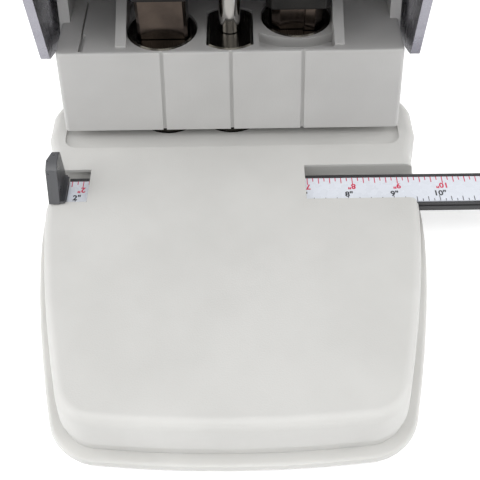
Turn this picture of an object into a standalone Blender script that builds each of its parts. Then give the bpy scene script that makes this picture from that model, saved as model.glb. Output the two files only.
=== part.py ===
"""Desk punch for plastic cards: a slot, a round hole and a rounded corner, pressed by one handle.

Metres, +Z up, X to the right and Y away from the user. The origin lies on the table, on the centre
plane, under the foot of the head's front wall.
"""

import math

import bmesh
import bpy
from mathutils import Matrix, Vector

# Clearances
FIT = 0.0003
CUTTING_FIT = 0.0002
OVERRUN = 0.003

# Widths, from the middle outwards: barrels, ribs beside them, frames, head, handle and base
BARREL_RADIUS = 0.00965
BARREL_FLAT = 0.00615
SLOT_GAP = 0.0031
CORNER_GAP = 0.0028
SLOT_X = -(BARREL_FLAT + SLOT_GAP + BARREL_RADIUS)
CORNER_X = BARREL_FLAT + CORNER_GAP + BARREL_RADIUS
RIB_MARGIN = 0.0093
RIB_THICKNESS = 0.0029
RIB_INNER = RIB_MARGIN - SLOT_X
RIB_OUTER = RIB_INNER + RIB_THICKNESS
FRAME_FOOT_GAP = 0.0009
FRAME_FOOT_WIDTH = 0.0075
FRAME_SHEET = 0.0025
FRAME_FOOT_INNER = RIB_OUTER + FRAME_FOOT_GAP
FRAME_INNER = FRAME_FOOT_INNER + FRAME_FOOT_WIDTH
FRAME_OUTER = FRAME_INNER + FRAME_SHEET
HEAD_MARGIN = 0.0053
HEAD_TAPER = 0.0017
HEAD_TOP_HALF = FRAME_OUTER + HEAD_MARGIN
HEAD_FOOT_HALF = HEAD_TOP_HALF + HEAD_TAPER
HANDLE_GAP = 0.0016
HANDLE_SHEET = 0.0025
HANDLE_HALF = HEAD_TOP_HALF + HANDLE_GAP + HANDLE_SHEET
RIM_MARGIN = 0.0065
NECK_STEP = 0.0039
RIM_HALF = HEAD_FOOT_HALF + RIM_MARGIN
NECK_HALF = RIM_HALF - NECK_STEP

# Depths, from the head's front
RIM_FRONT = 0.0972
FRONT_WALL = 0.00235
CORNER_STEP = 0.0051
STATION_Y = FRONT_WALL + FIT + BARREL_RADIUS
CORNER_Y = STATION_Y + CORNER_STEP
BASE_REAR = 0.078
REAR_LEDGE = 0.006
PIVOT_SET_IN = 0.020
HINGE_REACH = 0.0026
HEAD_REAR = BASE_REAR - REAR_LEDGE
PIVOT_Y = HEAD_REAR - PIVOT_SET_IN
HINGE_Y = BASE_REAR + HINGE_REACH

# Heights, from the table
DECK_TOP = 0.018
CARD_GAP = 0.0025
HEAD_TOP = 0.047
PIVOT_RISE = 0.013
CREST_RISE = 0.037
PIVOT_Z = HEAD_TOP + PIVOT_RISE
HANDLE_CREST = HEAD_TOP + CREST_RISE
PUNCH_TRAVEL_START = 0.0022
AXLE_RADIUS = 0.004
PIN_RADIUS = 0.003

# Ruler
RULER_FRONT = -0.0265
RULER_REAR = -0.0157
RULER_TOP = 0.0167
RULER_HEIGHT = 0.0036
RULER_SET_IN = 0.0093
RULER_LEFT = RULER_SET_IN - RIM_HALF
RULER_LENGTH = 0.1342

# Angles above which an edge counts as an edge
EASED_ANGLE = math.radians(20)
SMOOTH_ANGLE = math.radians(32)

# Drawing aids: curves are filled at this many times the real size, where rounding errors are small
DRAWING_SCALE = 1000
TURNS = {
    "X": Matrix(((0, 0, 1, 0), (1, 0, 0, 0), (0, 1, 0, 0), (0, 0, 0, 1))),
    "Y": Matrix(((1, 0, 0, 0), (0, 0, -1, 0), (0, 1, 0, 0), (0, 0, 0, 1))),
    "Z": Matrix.Identity(4),
}


def clear_scene():
    for thing in list(bpy.data.objects):
        bpy.data.objects.remove(thing, do_unlink=True)


def new_collection(name):
    group = bpy.data.collections.new(name)
    bpy.context.scene.collection.children.link(group)
    return group


def material(name, colour, roughness, metallic=0.0):
    made = bpy.data.materials.new(name)
    made.use_nodes = True
    shader = made.node_tree.nodes["Principled BSDF"]
    shader.inputs["Base Color"].default_value = (*colour, 1)
    shader.inputs["Roughness"].default_value = roughness
    shader.inputs["Metallic"].default_value = metallic
    return made


# Outlines: closed lists of points, counterclockwise
def rectangle(left, right, front, rear):
    return [(left, front), (right, front), (right, rear), (left, rear)]


def circle(x, y, radius, count=32):
    return [
        (x + radius * math.cos(math.tau * n / count), y + radius * math.sin(math.tau * n / count))
        for n in range(count)
    ]


def flatted_circle(x, y, radius, flat, count=9):
    """A circle whose left and right sides are cut flat."""
    side = math.acos(flat / radius)
    points = []
    for start in (side, math.pi + side):
        for n in range(count):
            angle = start + (math.pi - 2 * side) * n / (count - 1)
            points.append((x + radius * math.cos(angle), y + radius * math.sin(angle)))
    return points


def stadium(x, y, half_length, radius, count=7):
    """A slot with round ends, along the first axis."""
    points = []
    for sign in (1, -1):
        for n in range(count):
            angle = math.pi * (n / (count - 1) - sign / 2)
            points.append((
                x + sign * (half_length - radius) + radius * math.cos(angle),
                y + radius * math.sin(angle),
            ))
    return points


def chamfered(left, right, front, rear, chamfer):
    return [
        (left + chamfer, front), (right - chamfer, front), (right, front + chamfer), (right, rear - chamfer),
        (right - chamfer, rear), (left + chamfer, rear), (left, rear - chamfer), (left, front + chamfer),
    ]


def rounded(corners, steps=4):
    """An outline through corners given as (x, y, radius), with an arc wherever the radius isn't zero."""
    points = []
    for n, (x, y, radius) in enumerate(corners):
        here = Vector((x, y))
        back = Vector(corners[n - 1][:2]) - here
        ahead = Vector(corners[(n + 1) % len(corners)][:2]) - here
        if not radius:
            points.append((x, y))
            continue
        back.normalize()
        ahead.normalize()
        half = back.angle(ahead) / 2
        centre = here + (back + ahead).normalized() * (radius / math.sin(half))
        start = here + back * (radius / math.tan(half)) - centre
        end = here + ahead * (radius / math.tan(half)) - centre
        sweep = math.atan2(start.x * end.y - start.y * end.x, start.dot(end))
        for step in range(steps + 1):
            angle = sweep * step / steps
            points.append((
                centre.x + start.x * math.cos(angle) - start.y * math.sin(angle),
                centre.y + start.x * math.sin(angle) + start.y * math.cos(angle),
            ))
    return points


def inset(outline, distance):
    """The outline moved inwards by a distance, point for point."""
    moved = []
    for n, (x, y) in enumerate(outline):
        before = Vector((x, y)) - Vector(outline[n - 1])
        after = Vector(outline[(n + 1) % len(outline)]) - Vector((x, y))
        first = Vector((-before.y, before.x)).normalized()
        second = Vector((-after.y, after.x)).normalized()
        step = (first + second) * (distance / (1 + first.dot(second)))
        moved.append((x + step.x, y + step.y))
    return moved


def clipped(outline, front, rear):
    """The part of an outline between two levels of Y."""
    for level, sign in ((front, 1), (rear, -1)):
        kept = []
        for n, (x, y) in enumerate(outline):
            last_x, last_y = outline[n - 1]
            inside, was_inside = (y - level) * sign >= 0, (last_y - level) * sign >= 0
            if inside != was_inside:
                share = (level - last_y) / (y - last_y)
                kept.append((last_x + (x - last_x) * share, level))
            if inside:
                kept.append((x, y))
        outline = kept
    return outline


# Solids
def to_object(name, form):
    mesh = bpy.data.meshes.new(name)
    form.to_mesh(mesh)
    form.free()
    made = bpy.data.objects.new(name, mesh)
    bpy.context.scene.collection.objects.link(made)
    return made


def prism(outlines, low, high, axis="Z"):
    """A filled outline, with any further outlines as holes, drawn out along an axis between two levels.

    Its points are (X, Y) along Z, (Y, Z) along X, and (X, Z) along Y.
    """
    curve = bpy.data.curves.new("outline", "CURVE")
    curve.dimensions = "2D"
    curve.fill_mode = "BOTH"
    curve.extrude = (high - low) / 2 * DRAWING_SCALE
    for outline in outlines:
        spline = curve.splines.new("POLY")
        spline.points.add(len(outline) - 1)
        for point, (x, y) in zip(spline.points, outline):
            point.co = (x * DRAWING_SCALE, y * DRAWING_SCALE, 0, 1)
        spline.use_cyclic_u = True
    drawn = bpy.data.objects.new("outline", curve)
    bpy.context.scene.collection.objects.link(drawn)
    depsgraph = bpy.context.evaluated_depsgraph_get()
    mesh = bpy.data.meshes.new_from_object(drawn.evaluated_get(depsgraph), depsgraph=depsgraph)
    bpy.data.objects.remove(drawn)
    form = bmesh.new()
    form.from_mesh(mesh)
    form.transform(Matrix.Scale(1 / DRAWING_SCALE, 4))
    bmesh.ops.remove_doubles(form, verts=form.verts, dist=FIT / DRAWING_SCALE)
    middle = (low + high) / 2
    level = Vector((0, 0, -middle if axis == "Y" else middle))
    form.transform(TURNS[axis] @ Matrix.Translation(level))
    bmesh.ops.recalc_face_normals(form, faces=form.faces)
    return to_object("prism", form)


def box(left, right, front, rear, low, high):
    form = bmesh.new()
    bmesh.ops.create_cube(form, size=1)
    middle = Vector(((left + right) / 2, (front + rear) / 2, (low + high) / 2))
    size = (right - left, rear - front, high - low)
    form.transform(Matrix.Translation(middle) @ Matrix.Diagonal((*size, 1)))
    return to_object("box", form)


def cylinder(centre, radius, low, high, axis="Z", count=24):
    """A cylinder along an axis. Its centre is (X, Y) along Z, (Y, Z) along X, and (X, Z) along Y."""
    form = bmesh.new()
    bmesh.ops.create_cone(
        form, cap_ends=True, segments=count, radius1=radius, radius2=radius, depth=high - low
    )
    middle = (low + high) / 2
    form.transform(TURNS[axis] @ Matrix.Translation((*centre, -middle if axis == "Y" else middle)))
    return to_object("cylinder", form)


def loft(rings):
    """A closed body through rings of as many points each, given as (outline, height)."""
    form = bmesh.new()
    rows = [[form.verts.new((x, y, z)) for x, y in outline] for outline, z in rings]
    for lower, upper in zip(rows, rows[1:]):
        for n in range(len(lower)):
            form.faces.new((lower[n - 1], lower[n], upper[n], upper[n - 1]))
    form.faces.new(rows[0])
    form.faces.new(rows[-1])
    form.normal_update()
    bmesh.ops.triangulate(form, faces=form.faces)
    bmesh.ops.recalc_face_normals(form, faces=form.faces)
    return to_object("loft", form)


def turned(profile, place, turn=(0, 0, 0), steps=20):
    """A profile of (radius, height) points, from top to bottom, turned about +Z and then placed."""
    mesh = bpy.data.meshes.new("turned")
    points = [(radius, 0, height) for radius, height in profile]
    mesh.from_pydata(points, [(n, n + 1) for n in range(len(points) - 1)], [])
    made = bpy.data.objects.new("turned", mesh)
    bpy.context.scene.collection.objects.link(made)
    screw = made.modifiers.new("turn", "SCREW")
    screw.steps = screw.render_steps = steps
    screw.use_merge_vertices = True
    screw.merge_threshold = 0.00001
    screw.use_smooth_shade = False
    made.location = place
    made.rotation_euler = turn
    return made


def tube(points, radius):
    """A round wire along points, closed at its ends."""
    curve = bpy.data.curves.new("wire", "CURVE")
    curve.dimensions = "3D"
    curve.bevel_depth = radius
    curve.bevel_resolution = 1
    curve.use_fill_caps = True
    spline = curve.splines.new("POLY")
    spline.points.add(len(points) - 1)
    for point, place in zip(spline.points, points):
        point.co = (*place, 1)
    drawn = bpy.data.objects.new("wire", curve)
    bpy.context.scene.collection.objects.link(drawn)
    depsgraph = bpy.context.evaluated_depsgraph_get()
    mesh = bpy.data.meshes.new_from_object(drawn.evaluated_get(depsgraph), depsgraph=depsgraph)
    bpy.data.objects.remove(drawn)
    form = bmesh.new()
    form.from_mesh(mesh)
    bmesh.ops.remove_doubles(form, verts=form.verts, dist=radius / DRAWING_SCALE)
    bmesh.ops.recalc_face_normals(form, faces=form.faces)
    return to_object("wire", form)


def boolean(target, operation, tools):
    for tool in tools:
        modifier = target.modifiers.new(operation.lower(), "BOOLEAN")
        modifier.operation = operation
        modifier.solver = "EXACT"
        modifier.object = tool
        bpy.context.scene.collection.objects.unlink(tool)
        cutters.objects.link(tool)
        tool.name = "tool"
        tool.hide_render = True
        tool.display_type = "WIRE"


def cut(target, *tools):
    boolean(target, "DIFFERENCE", tools)


def join(target, *tools):
    boolean(target, "UNION", tools)


def ease(target, radius, steps, chosen):
    """Rounds the edges whose middle and direction the chosen test picks."""
    form = bmesh.new()
    form.from_mesh(target.data)
    edges = []
    for edge in form.edges:
        one, other = (vertex.co for vertex in edge.verts)
        if chosen((one + other) / 2, (other - one).normalized()) and edge.calc_face_angle(0) > EASED_ANGLE:
            edges.append(edge)
    bmesh.ops.bevel(form, geom=edges, offset=radius, segments=steps, profile=0.5, affect="EDGES")
    bmesh.ops.recalc_face_normals(form, faces=form.faces)
    form.to_mesh(target.data)
    form.free()


def keep(name, made, look, carrier=None):
    """Names a finished piece, gives it its material and hangs it on its carrier."""
    made.name = made.data.name = name
    made.data.materials.clear()
    made.data.materials.append(look)
    made.data.shade_smooth()
    made.data.set_sharp_from_angle(angle=SMOOTH_ANGLE)
    bpy.context.scene.collection.objects.unlink(made)
    parts.objects.link(made)
    if carrier:
        made.parent = carrier
        made.matrix_parent_inverse = Matrix.Translation(carrier["place"]).inverted()
    return made


def carrier_at(name, place, above=None):
    """An empty on a joint's axis, which carries the pieces that move there."""
    empty = bpy.data.objects.new(name, None)
    parts.objects.link(empty)
    empty["place"] = place
    empty.location = place
    if above:
        empty.parent = above
        empty.matrix_parent_inverse = Matrix.Translation(above["place"]).inverted()
    return empty


# Plan of the base, shared by the base shell, the tray and the mat
RIM_STEP = 0.003


def base_plan(bulge=0):
    """The rim's outline: a crowned front, tapered sides, and a neck behind the head's front corners."""
    crown, corner, taper_start, side_taper = 0.0016, 0.014, 0.022, 0.0109
    taper_share = 1.55
    shoulder, shoulder_radius, rear_radius = 0.0105, 0.016, 0.009
    bulge_front, bulge_full, bulge_rear = -0.009, 0, 0.024
    plain_length = RIM_FRONT - crown - corner - taper_start
    lean = math.atan(side_taper * taper_share / plain_length)
    taper_length = plain_length + corner * math.sin(lean)
    corner_x = RIM_HALF - side_taper - corner * math.cos(lean)
    corner_y = -(taper_start + taper_length) + corner * math.sin(lean)
    half = []
    for share in (0.0, 0.35, 0.7, 1.0):
        half.append((corner_x * share, crown * share * share - RIM_FRONT))
    steps = 7
    for n in range(1, steps + 1):
        angle = -math.pi / 2 + (math.pi / 2 - lean) * n / steps
        half.append((corner_x + corner * math.cos(angle), corner_y + corner * math.sin(angle)))
    for share in (0.85, 0.7, 0.55, 0.4, 0.25, 0.12, 0.0):
        half.append((RIM_HALF - side_taper * share**taper_share, -taper_start - taper_length * share))
    for share in (0.0, 0.35, 0.65, 1.0):
        half.append((RIM_HALF, bulge_front + (bulge_full - bulge_front) * share))
    turn = math.acos(1 - (RIM_HALF - NECK_HALF) / shoulder_radius)
    steps = 5
    for n in range(steps + 1):
        angle = turn * n / steps
        half.append((
            RIM_HALF - shoulder_radius * (1 - math.cos(angle)),
            shoulder + shoulder_radius * math.sin(angle),
        ))
    half.append((NECK_HALF, (bulge_rear + BASE_REAR) / 2))
    steps = 4
    for n in range(steps + 1):
        angle = math.pi / 2 * n / steps
        half.append((
            NECK_HALF - rear_radius * (1 - math.cos(angle)),
            BASE_REAR - rear_radius * (1 - math.sin(angle)),
        ))
    swollen = []
    for x, y in half:
        rise = min(max((y - bulge_front) / (bulge_full - bulge_front), 0), 1)
        fall = min(max((bulge_rear - y) / (bulge_rear - shoulder), 0), 1)
        swollen.append((x + bulge * rise * fall, y))
    return swollen + [(-x, y) for x, y in reversed(swollen[1:])]


# Heights that the base's pieces share
DECK_WALL = 0.0022
RECESS_FLOOR = 0.0169
DIE_PLATE_THICKNESS = 0.0028
DIE_PLATE_HIGH = RECESS_FLOOR - DECK_WALL - FIT
DIE_PLATE_LOW = DIE_PLATE_HIGH - DIE_PLATE_THICKNESS
DECK_SKIRT = 0.008
HINGE_Z = 0.0089
HINGE_RADIUS = 0.0024
HINGE_PIN_RADIUS = 0.0012
DECK_KNUCKLE_HALF = 0.0046
TRAY_KNUCKLE_HALF = 0.014
SCREW_RADIUS = 0.0014
SCREW_HEAD_RADIUS = 0.0029
SCREW_HEAD_HEIGHT = 0.0018
FRAME_SCREW_SET_IN = 0.0035
FRAME_SCREW_X = FRAME_FOOT_INNER + FRAME_SCREW_SET_IN
CAVITY_FRONT = STATION_Y - BARREL_RADIUS - FIT
CAVITY_SPARE = 0.00145
CAVITY_REAR = CORNER_Y + BARREL_RADIUS + CAVITY_SPARE
TRANSVERSE_WALL = 0.002
COVER_THICKNESS = 0.0024
FRAME_FRONT_GAP = 0.0015
FRAME_FRONT = CAVITY_REAR + TRANSVERSE_WALL + FRAME_FRONT_GAP
FRAME_REAR = HEAD_REAR - COVER_THICKNESS - 2 * FIT
FRONT_SCREW_STEP = 0.006
REAR_SCREW_STEP = 0.004
FRONT_SCREW_Y = FRAME_FRONT + FRONT_SCREW_STEP
REAR_SCREW_Y = FRAME_REAR - REAR_SCREW_STEP
FRAME_SCREW_SPOTS = ((-1, FRONT_SCREW_Y), (1, FRONT_SCREW_Y), (-1, REAR_SCREW_Y), (1, REAR_SCREW_Y))


def channel_sizes():
    """The guide channel's front, rear, floor and roof, worked out from the ruler."""
    roof_thickness, rear_gap = 0.001, 0.0032
    return RULER_FRONT - FIT, RULER_REAR + rear_gap, RULER_TOP - RULER_HEIGHT - FIT, DECK_TOP - roof_thickness


def deck_shell():
    wall, draft, edge, bulge = DECK_WALL, 0.0006, 0.0028, 0.0026
    side_height = DECK_TOP - edge
    plan = base_plan(bulge)
    rings = [(inset(plan, RIM_STEP), DECK_SKIRT), (inset(plan, RIM_STEP + draft), side_height)]
    steps = 4
    for n in range(1, steps + 1):
        angle = math.pi / 2 * n / steps
        rings.append((
            inset(plan, RIM_STEP + draft + edge * (1 - math.cos(angle))),
            side_height + edge * math.sin(angle),
        ))
    shell = loft(rings)

    # Hollow underside, in three heights
    channel_front, channel_rear, channel_floor, channel_roof = channel_sizes()
    hollow = inset(plan, RIM_STEP + wall)
    narrow = inset(plan, RIM_STEP + wall + draft)
    channel_wall = 0.0028
    low_ceiling = channel_floor - wall
    low = low_ceiling - FIT
    cut(
        shell,
        prism([hollow], DECK_SKIRT - OVERRUN, low_ceiling),
        prism([clipped(narrow, -RIM_FRONT, channel_front - channel_wall)], low, DECK_TOP - wall),
        prism([clipped(narrow, channel_rear + channel_wall, BASE_REAR)], low, RECESS_FLOOR - wall),
    )

    # Guide channel, which the deck bridges in the middle and overhangs a little in front
    lip, left_margin, right_margin, left_rear_step = 0.001, 0.0153, 0.002, 0.0007
    left_end, right_start = left_margin - RIM_HALF, CORNER_X + right_margin
    reach = RIM_HALF + OVERRUN
    opening_rear, opening_front = channel_rear - FIT, channel_front + lip
    cut(
        shell,
        box(-reach, reach, channel_front, channel_rear, channel_floor, channel_roof),
        box(
            -reach, left_end, opening_front, opening_rear - left_rear_step, channel_roof - lip,
            DECK_TOP + OVERRUN,
        ),
        box(right_start, reach, opening_front, opening_rear, channel_roof - lip, DECK_TOP + OVERRUN),
    )

    # Recess under the head, open at the sides behind the shoulders
    recess_margin, recess_front, recess_radius, recess_open = 0.0004, -0.0046, 0.004, 0.0195
    recess_half = HEAD_FOOT_HALF + recess_margin
    cut(
        shell,
        prism(
            [rounded([
                (-recess_half, recess_front, recess_radius), (recess_half, recess_front, recess_radius),
                (recess_half, recess_open + OVERRUN, 0), (-recess_half, recess_open + OVERRUN, 0),
            ])],
            RECESS_FLOOR, DECK_TOP + OVERRUN,
        ),
        box(-reach, reach, recess_open, BASE_REAR + OVERRUN, RECESS_FLOOR, DECK_TOP + 2 * OVERRUN),
    )
    low, high = RECESS_FLOOR - wall - OVERRUN, RECESS_FLOOR + OVERRUN
    for outline in station_outlines(FIT, DIE_FLAT):
        cut(shell, prism([outline], low, high))
    for side, y in FRAME_SCREW_SPOTS:
        cut(shell, cylinder((side * FRAME_SCREW_X, y), SCREW_RADIUS + FIT, low, high))

    # Middle knuckle of the tray's hinge
    half = DECK_KNUCKLE_HALF
    lug_low, lug_high = DECK_SKIRT + FIT, HINGE_Z + HINGE_RADIUS - 2 * FIT
    join(
        shell,
        box(-half, half, BASE_REAR - RIM_STEP - wall / 2, HINGE_Y - FIT, lug_low, lug_high),
        cylinder((HINGE_Y, HINGE_Z), HINGE_RADIUS, -half, half, "X"),
    )
    cut(shell, cylinder((HINGE_Y, HINGE_Z), HINGE_PIN_RADIUS + FIT, -half - OVERRUN, half + OVERRUN, "X"))
    return keep("deck_shell", shell, grey_plastic)


# Punching stations
DIE_FLAT = 0.0053
BARREL_WALL = 0.00105
ROUND_CHAMBER_RADIUS = 0.0049
BODY_SET_IN = 0.00265
SLOT_BODY_SET_IN = 0.002
CORNER_FRONT_SET_IN = 0.0008
CHAMBER_RADIUS = BARREL_RADIUS - BARREL_WALL
BODY_HALF = BARREL_RADIUS - BODY_SET_IN
SLOT_BODY_REACH = BODY_HALF - SLOT_BODY_SET_IN
CORNER_BODY_FRONT = BODY_HALF - CORNER_FRONT_SET_IN
CORNER_BODY_REAR = BODY_HALF - SLOT_BODY_SET_IN


def station_outlines(gap, flat):
    """The three stations' round outlines from left to right, each grown by a gap."""
    return [
        circle(SLOT_X, STATION_Y, BARREL_RADIUS + gap),
        flatted_circle(0, STATION_Y, BARREL_RADIUS + gap, flat + gap),
        circle(CORNER_X, CORNER_Y, BARREL_RADIUS + gap),
    ]


def cutting_outlines(gap):
    """The holes that the three punches cut, from left to right, each grown by a gap."""
    slot_radius, side_step, rear_step, arc_radius, spare = 0.0015, 0.00535, 0.00615, 0.00635, 0.0006
    x, y = CORNER_X + BARREL_RADIUS - side_step, CORNER_Y + BARREL_RADIUS - rear_step
    middle_x, middle_y = x - arc_radius, y - arc_radius
    right, rear = x + spare + gap, y + spare + gap
    corner = [(right, middle_y - gap), (right, rear), (middle_x - gap, rear)]
    steps = 7
    for n in range(steps + 1):
        angle = math.pi / 2 * (1 - n / steps)
        corner.append((
            middle_x + (arc_radius - gap) * math.cos(angle) - gap * (n == 0),
            middle_y + (arc_radius - gap) * math.sin(angle) - gap * (n == steps),
        ))
    return [
        stadium(SLOT_X, STATION_Y, BODY_HALF + gap, slot_radius + gap),
        circle(0, STATION_Y, PIN_RADIUS + gap, 20),
        corner,
    ]


def body_outlines(gap):
    """The punches' guided bodies from left to right, each grown by a gap."""
    half, slot_chamfer, corner_chamfer, slot_trim, slot_shift = BODY_HALF, 0.0009, 0.0022, 0.0002, 0.0006
    slot_x, slot_half = SLOT_X + slot_shift, half - slot_trim
    key_left, key_step, key_rise = 0.0019, 0.0023, 0.0007
    key_right = BODY_HALF - key_step
    front, rear = CORNER_Y - CORNER_BODY_FRONT - gap, CORNER_Y + CORNER_BODY_REAR + gap
    left, right = CORNER_X - half - gap, CORNER_X + half + gap
    corner = chamfered(left, right, front, rear, corner_chamfer)
    key_front = front - key_rise
    key = [
        (CORNER_X + key_left - gap, front), (CORNER_X + key_left - gap, key_front),
        (CORNER_X + key_right + gap, key_front),
    ]
    return [
        chamfered(
            slot_x - slot_half - gap, slot_x + slot_half + gap,
            STATION_Y - SLOT_BODY_REACH - gap, STATION_Y + SLOT_BODY_REACH + gap, slot_chamfer,
        ),
        circle(0, STATION_Y, PIN_RADIUS + gap, 20),
        corner[:1] + key + corner[2:],
    ]


STATION_NAMES = ("slot", "round", "corner")
STATION_PLACES = ((SLOT_X, STATION_Y), (0, STATION_Y), (CORNER_X, CORNER_Y))
CHAMBER_RADII = (CHAMBER_RADIUS, ROUND_CHAMBER_RADIUS, CHAMBER_RADIUS)
SEAT_HEIGHT = 0.0223
BARREL_LOW = 0.0193
CHAMBER_DROP = 0.0125
BODY_DROP = 0.0022
BODY_RISE = 0.015
CAP_THICKNESS = 0.003
CHAMBER_TOP = HEAD_TOP - CHAMBER_DROP
BODY_LOW = CHAMBER_TOP - BODY_DROP
BODY_TOP = HEAD_TOP + BODY_RISE
CAP_TOP = BODY_TOP + CAP_THICKNESS
PIN_COLLAR_RADIUS = 0.0045
PIN_COLLAR_HEIGHT = 0.0018


def dies():
    holes = cutting_outlines(CUTTING_FIT)
    for name, outline, hole in zip(STATION_NAMES, station_outlines(0, DIE_FLAT), holes):
        keep(f"{name}_die", prism([outline, hole], DIE_PLATE_HIGH + FIT, DECK_TOP), dark_steel)


def die_plate():
    side_step, end_step, relief = 0.005, 0.001, 0.0006
    half_width, front, rear = HEAD_FOOT_HALF - side_step, end_step, HEAD_REAR - end_step
    holes = cutting_outlines(CUTTING_FIT + relief)
    holes += [
        circle(side * FRAME_SCREW_X, y, SCREW_RADIUS + FIT, 16) for side, y in FRAME_SCREW_SPOTS
    ]
    plate = prism([rectangle(-half_width, half_width, front, rear)] + holes, DIE_PLATE_LOW, DIE_PLATE_HIGH)
    keep("die_plate", plate, bright_steel)


def barrels():
    chamfer = 0.0006
    bores = body_outlines(FIT)
    tips = cutting_outlines(CUTTING_FIT)
    outlines = station_outlines(0, BARREL_FLAT)
    for n, name in enumerate(STATION_NAMES):
        barrel = loft([
            (outlines[n], BARREL_LOW), (outlines[n], HEAD_TOP - chamfer),
            (inset(outlines[n], chamfer), HEAD_TOP),
        ])
        cut(
            barrel,
            prism([bores[n]], CHAMBER_TOP - chamfer, HEAD_TOP + OVERRUN),
            cylinder(STATION_PLACES[n], CHAMBER_RADII[n], SEAT_HEIGHT, CHAMBER_TOP),
            prism([tips[n]], BARREL_LOW - OVERRUN, SEAT_HEIGHT + chamfer),
        )
        keep(f"{name}_barrel", barrel, dark_steel)


def punches():
    tip = DECK_TOP + PUNCH_TRAVEL_START
    step = FIT
    bodies = body_outlines(0)
    blades = cutting_outlines(0)
    slot = prism([bodies[0]], BODY_LOW, BODY_TOP)
    join(slot, prism([blades[0]], tip, BODY_LOW + step))
    pin = cylinder((0, STATION_Y), PIN_RADIUS, tip, BODY_TOP, count=20)
    join(pin, cylinder((0, STATION_Y), PIN_COLLAR_RADIUS, BODY_LOW, BODY_LOW + PIN_COLLAR_HEIGHT))
    corner = prism([bodies[2]], BODY_LOW, BODY_TOP)
    join(corner, prism([blades[2]], tip, BODY_LOW + step))
    for name, punch in zip(STATION_NAMES, (slot, pin, corner)):
        keep(f"{name}_punch", punch, bright_steel, carriers[f"{name}_press"])


def caps():
    """Strike caps: each holds its punch's top in a pocket and ends in a flat under the presser."""
    wall, pocket_top = 0.0016, BODY_TOP + FIT
    slot_depth, depth = 0.002, 0.007
    slot_low, low = BODY_TOP - slot_depth, BODY_TOP - depth
    bodies = body_outlines(FIT)
    slot = prism([inset(bodies[0], -wall)], slot_low, CAP_TOP)
    cut(slot, prism([bodies[0]], slot_low - OVERRUN, pocket_top))
    pin_cap_radius = 0.006
    pin = cylinder((0, STATION_Y), pin_cap_radius, slot_low, CAP_TOP)
    cut(pin, cylinder((0, STATION_Y), PIN_RADIUS + FIT, slot_low - OVERRUN, pocket_top, count=20))
    side, front, rear = 0.0018, 0.0026, 0.0018
    corner = prism(
        [chamfered(
            CORNER_X - BODY_HALF - side, CORNER_X + BODY_HALF + side,
            CORNER_Y - CORNER_BODY_FRONT - front, CORNER_Y + CORNER_BODY_REAR + rear, wall,
        )],
        low, CAP_TOP,
    )
    cut(corner, prism([bodies[2]], low - OVERRUN, pocket_top))
    for name, cap in zip(STATION_NAMES, (slot, pin, corner)):
        keep(f"{name}_cap", cap, black_steel, carriers[f"{name}_press"])


def coil(place, radius, wire, low, high, curls):
    """A compression spring as one wire, with its curls packed evenly between two flats."""
    points_a_curl = 8
    count = curls * points_a_curl
    bottom, top = low + wire + FIT, high - wire - FIT
    points = []
    for n in range(count + 1):
        angle = math.tau * n / points_a_curl
        height = bottom + (top - bottom) * n / count
        points.append((place[0] + radius * math.cos(angle), place[1] + radius * math.sin(angle), height))
    return tube(points, wire), (top - bottom) / curls - 2 * wire


def springs():
    side_play, round_play, wire, round_wire, curls = 0.00075, 0.0009, 0.00045, 0.0004, 5
    wide = (CHAMBER_RADIUS - side_play, wire)
    sizes = (wide, (ROUND_CHAMBER_RADIUS - round_play, round_wire), wide)
    for name, place, (radius, wire) in zip(STATION_NAMES, STATION_PLACES, sizes):
        spring, gap = coil(place, radius, wire, SEAT_HEIGHT, BODY_LOW, curls)
        print(f"{name}_spring: least gap between curls {gap * DRAWING_SCALE:.2f} mm")
        keep(f"{name}_spring", spring, bright_steel)


# Head
HEAD_WALL = 0.0028
PIVOT_BOSS = 0.009


def head_plan(half, front, rear, radius=0.0014):
    return rounded(
        [(-half, front, radius), (half, front, radius), (half, rear, radius), (-half, rear, radius)]
    )


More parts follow.
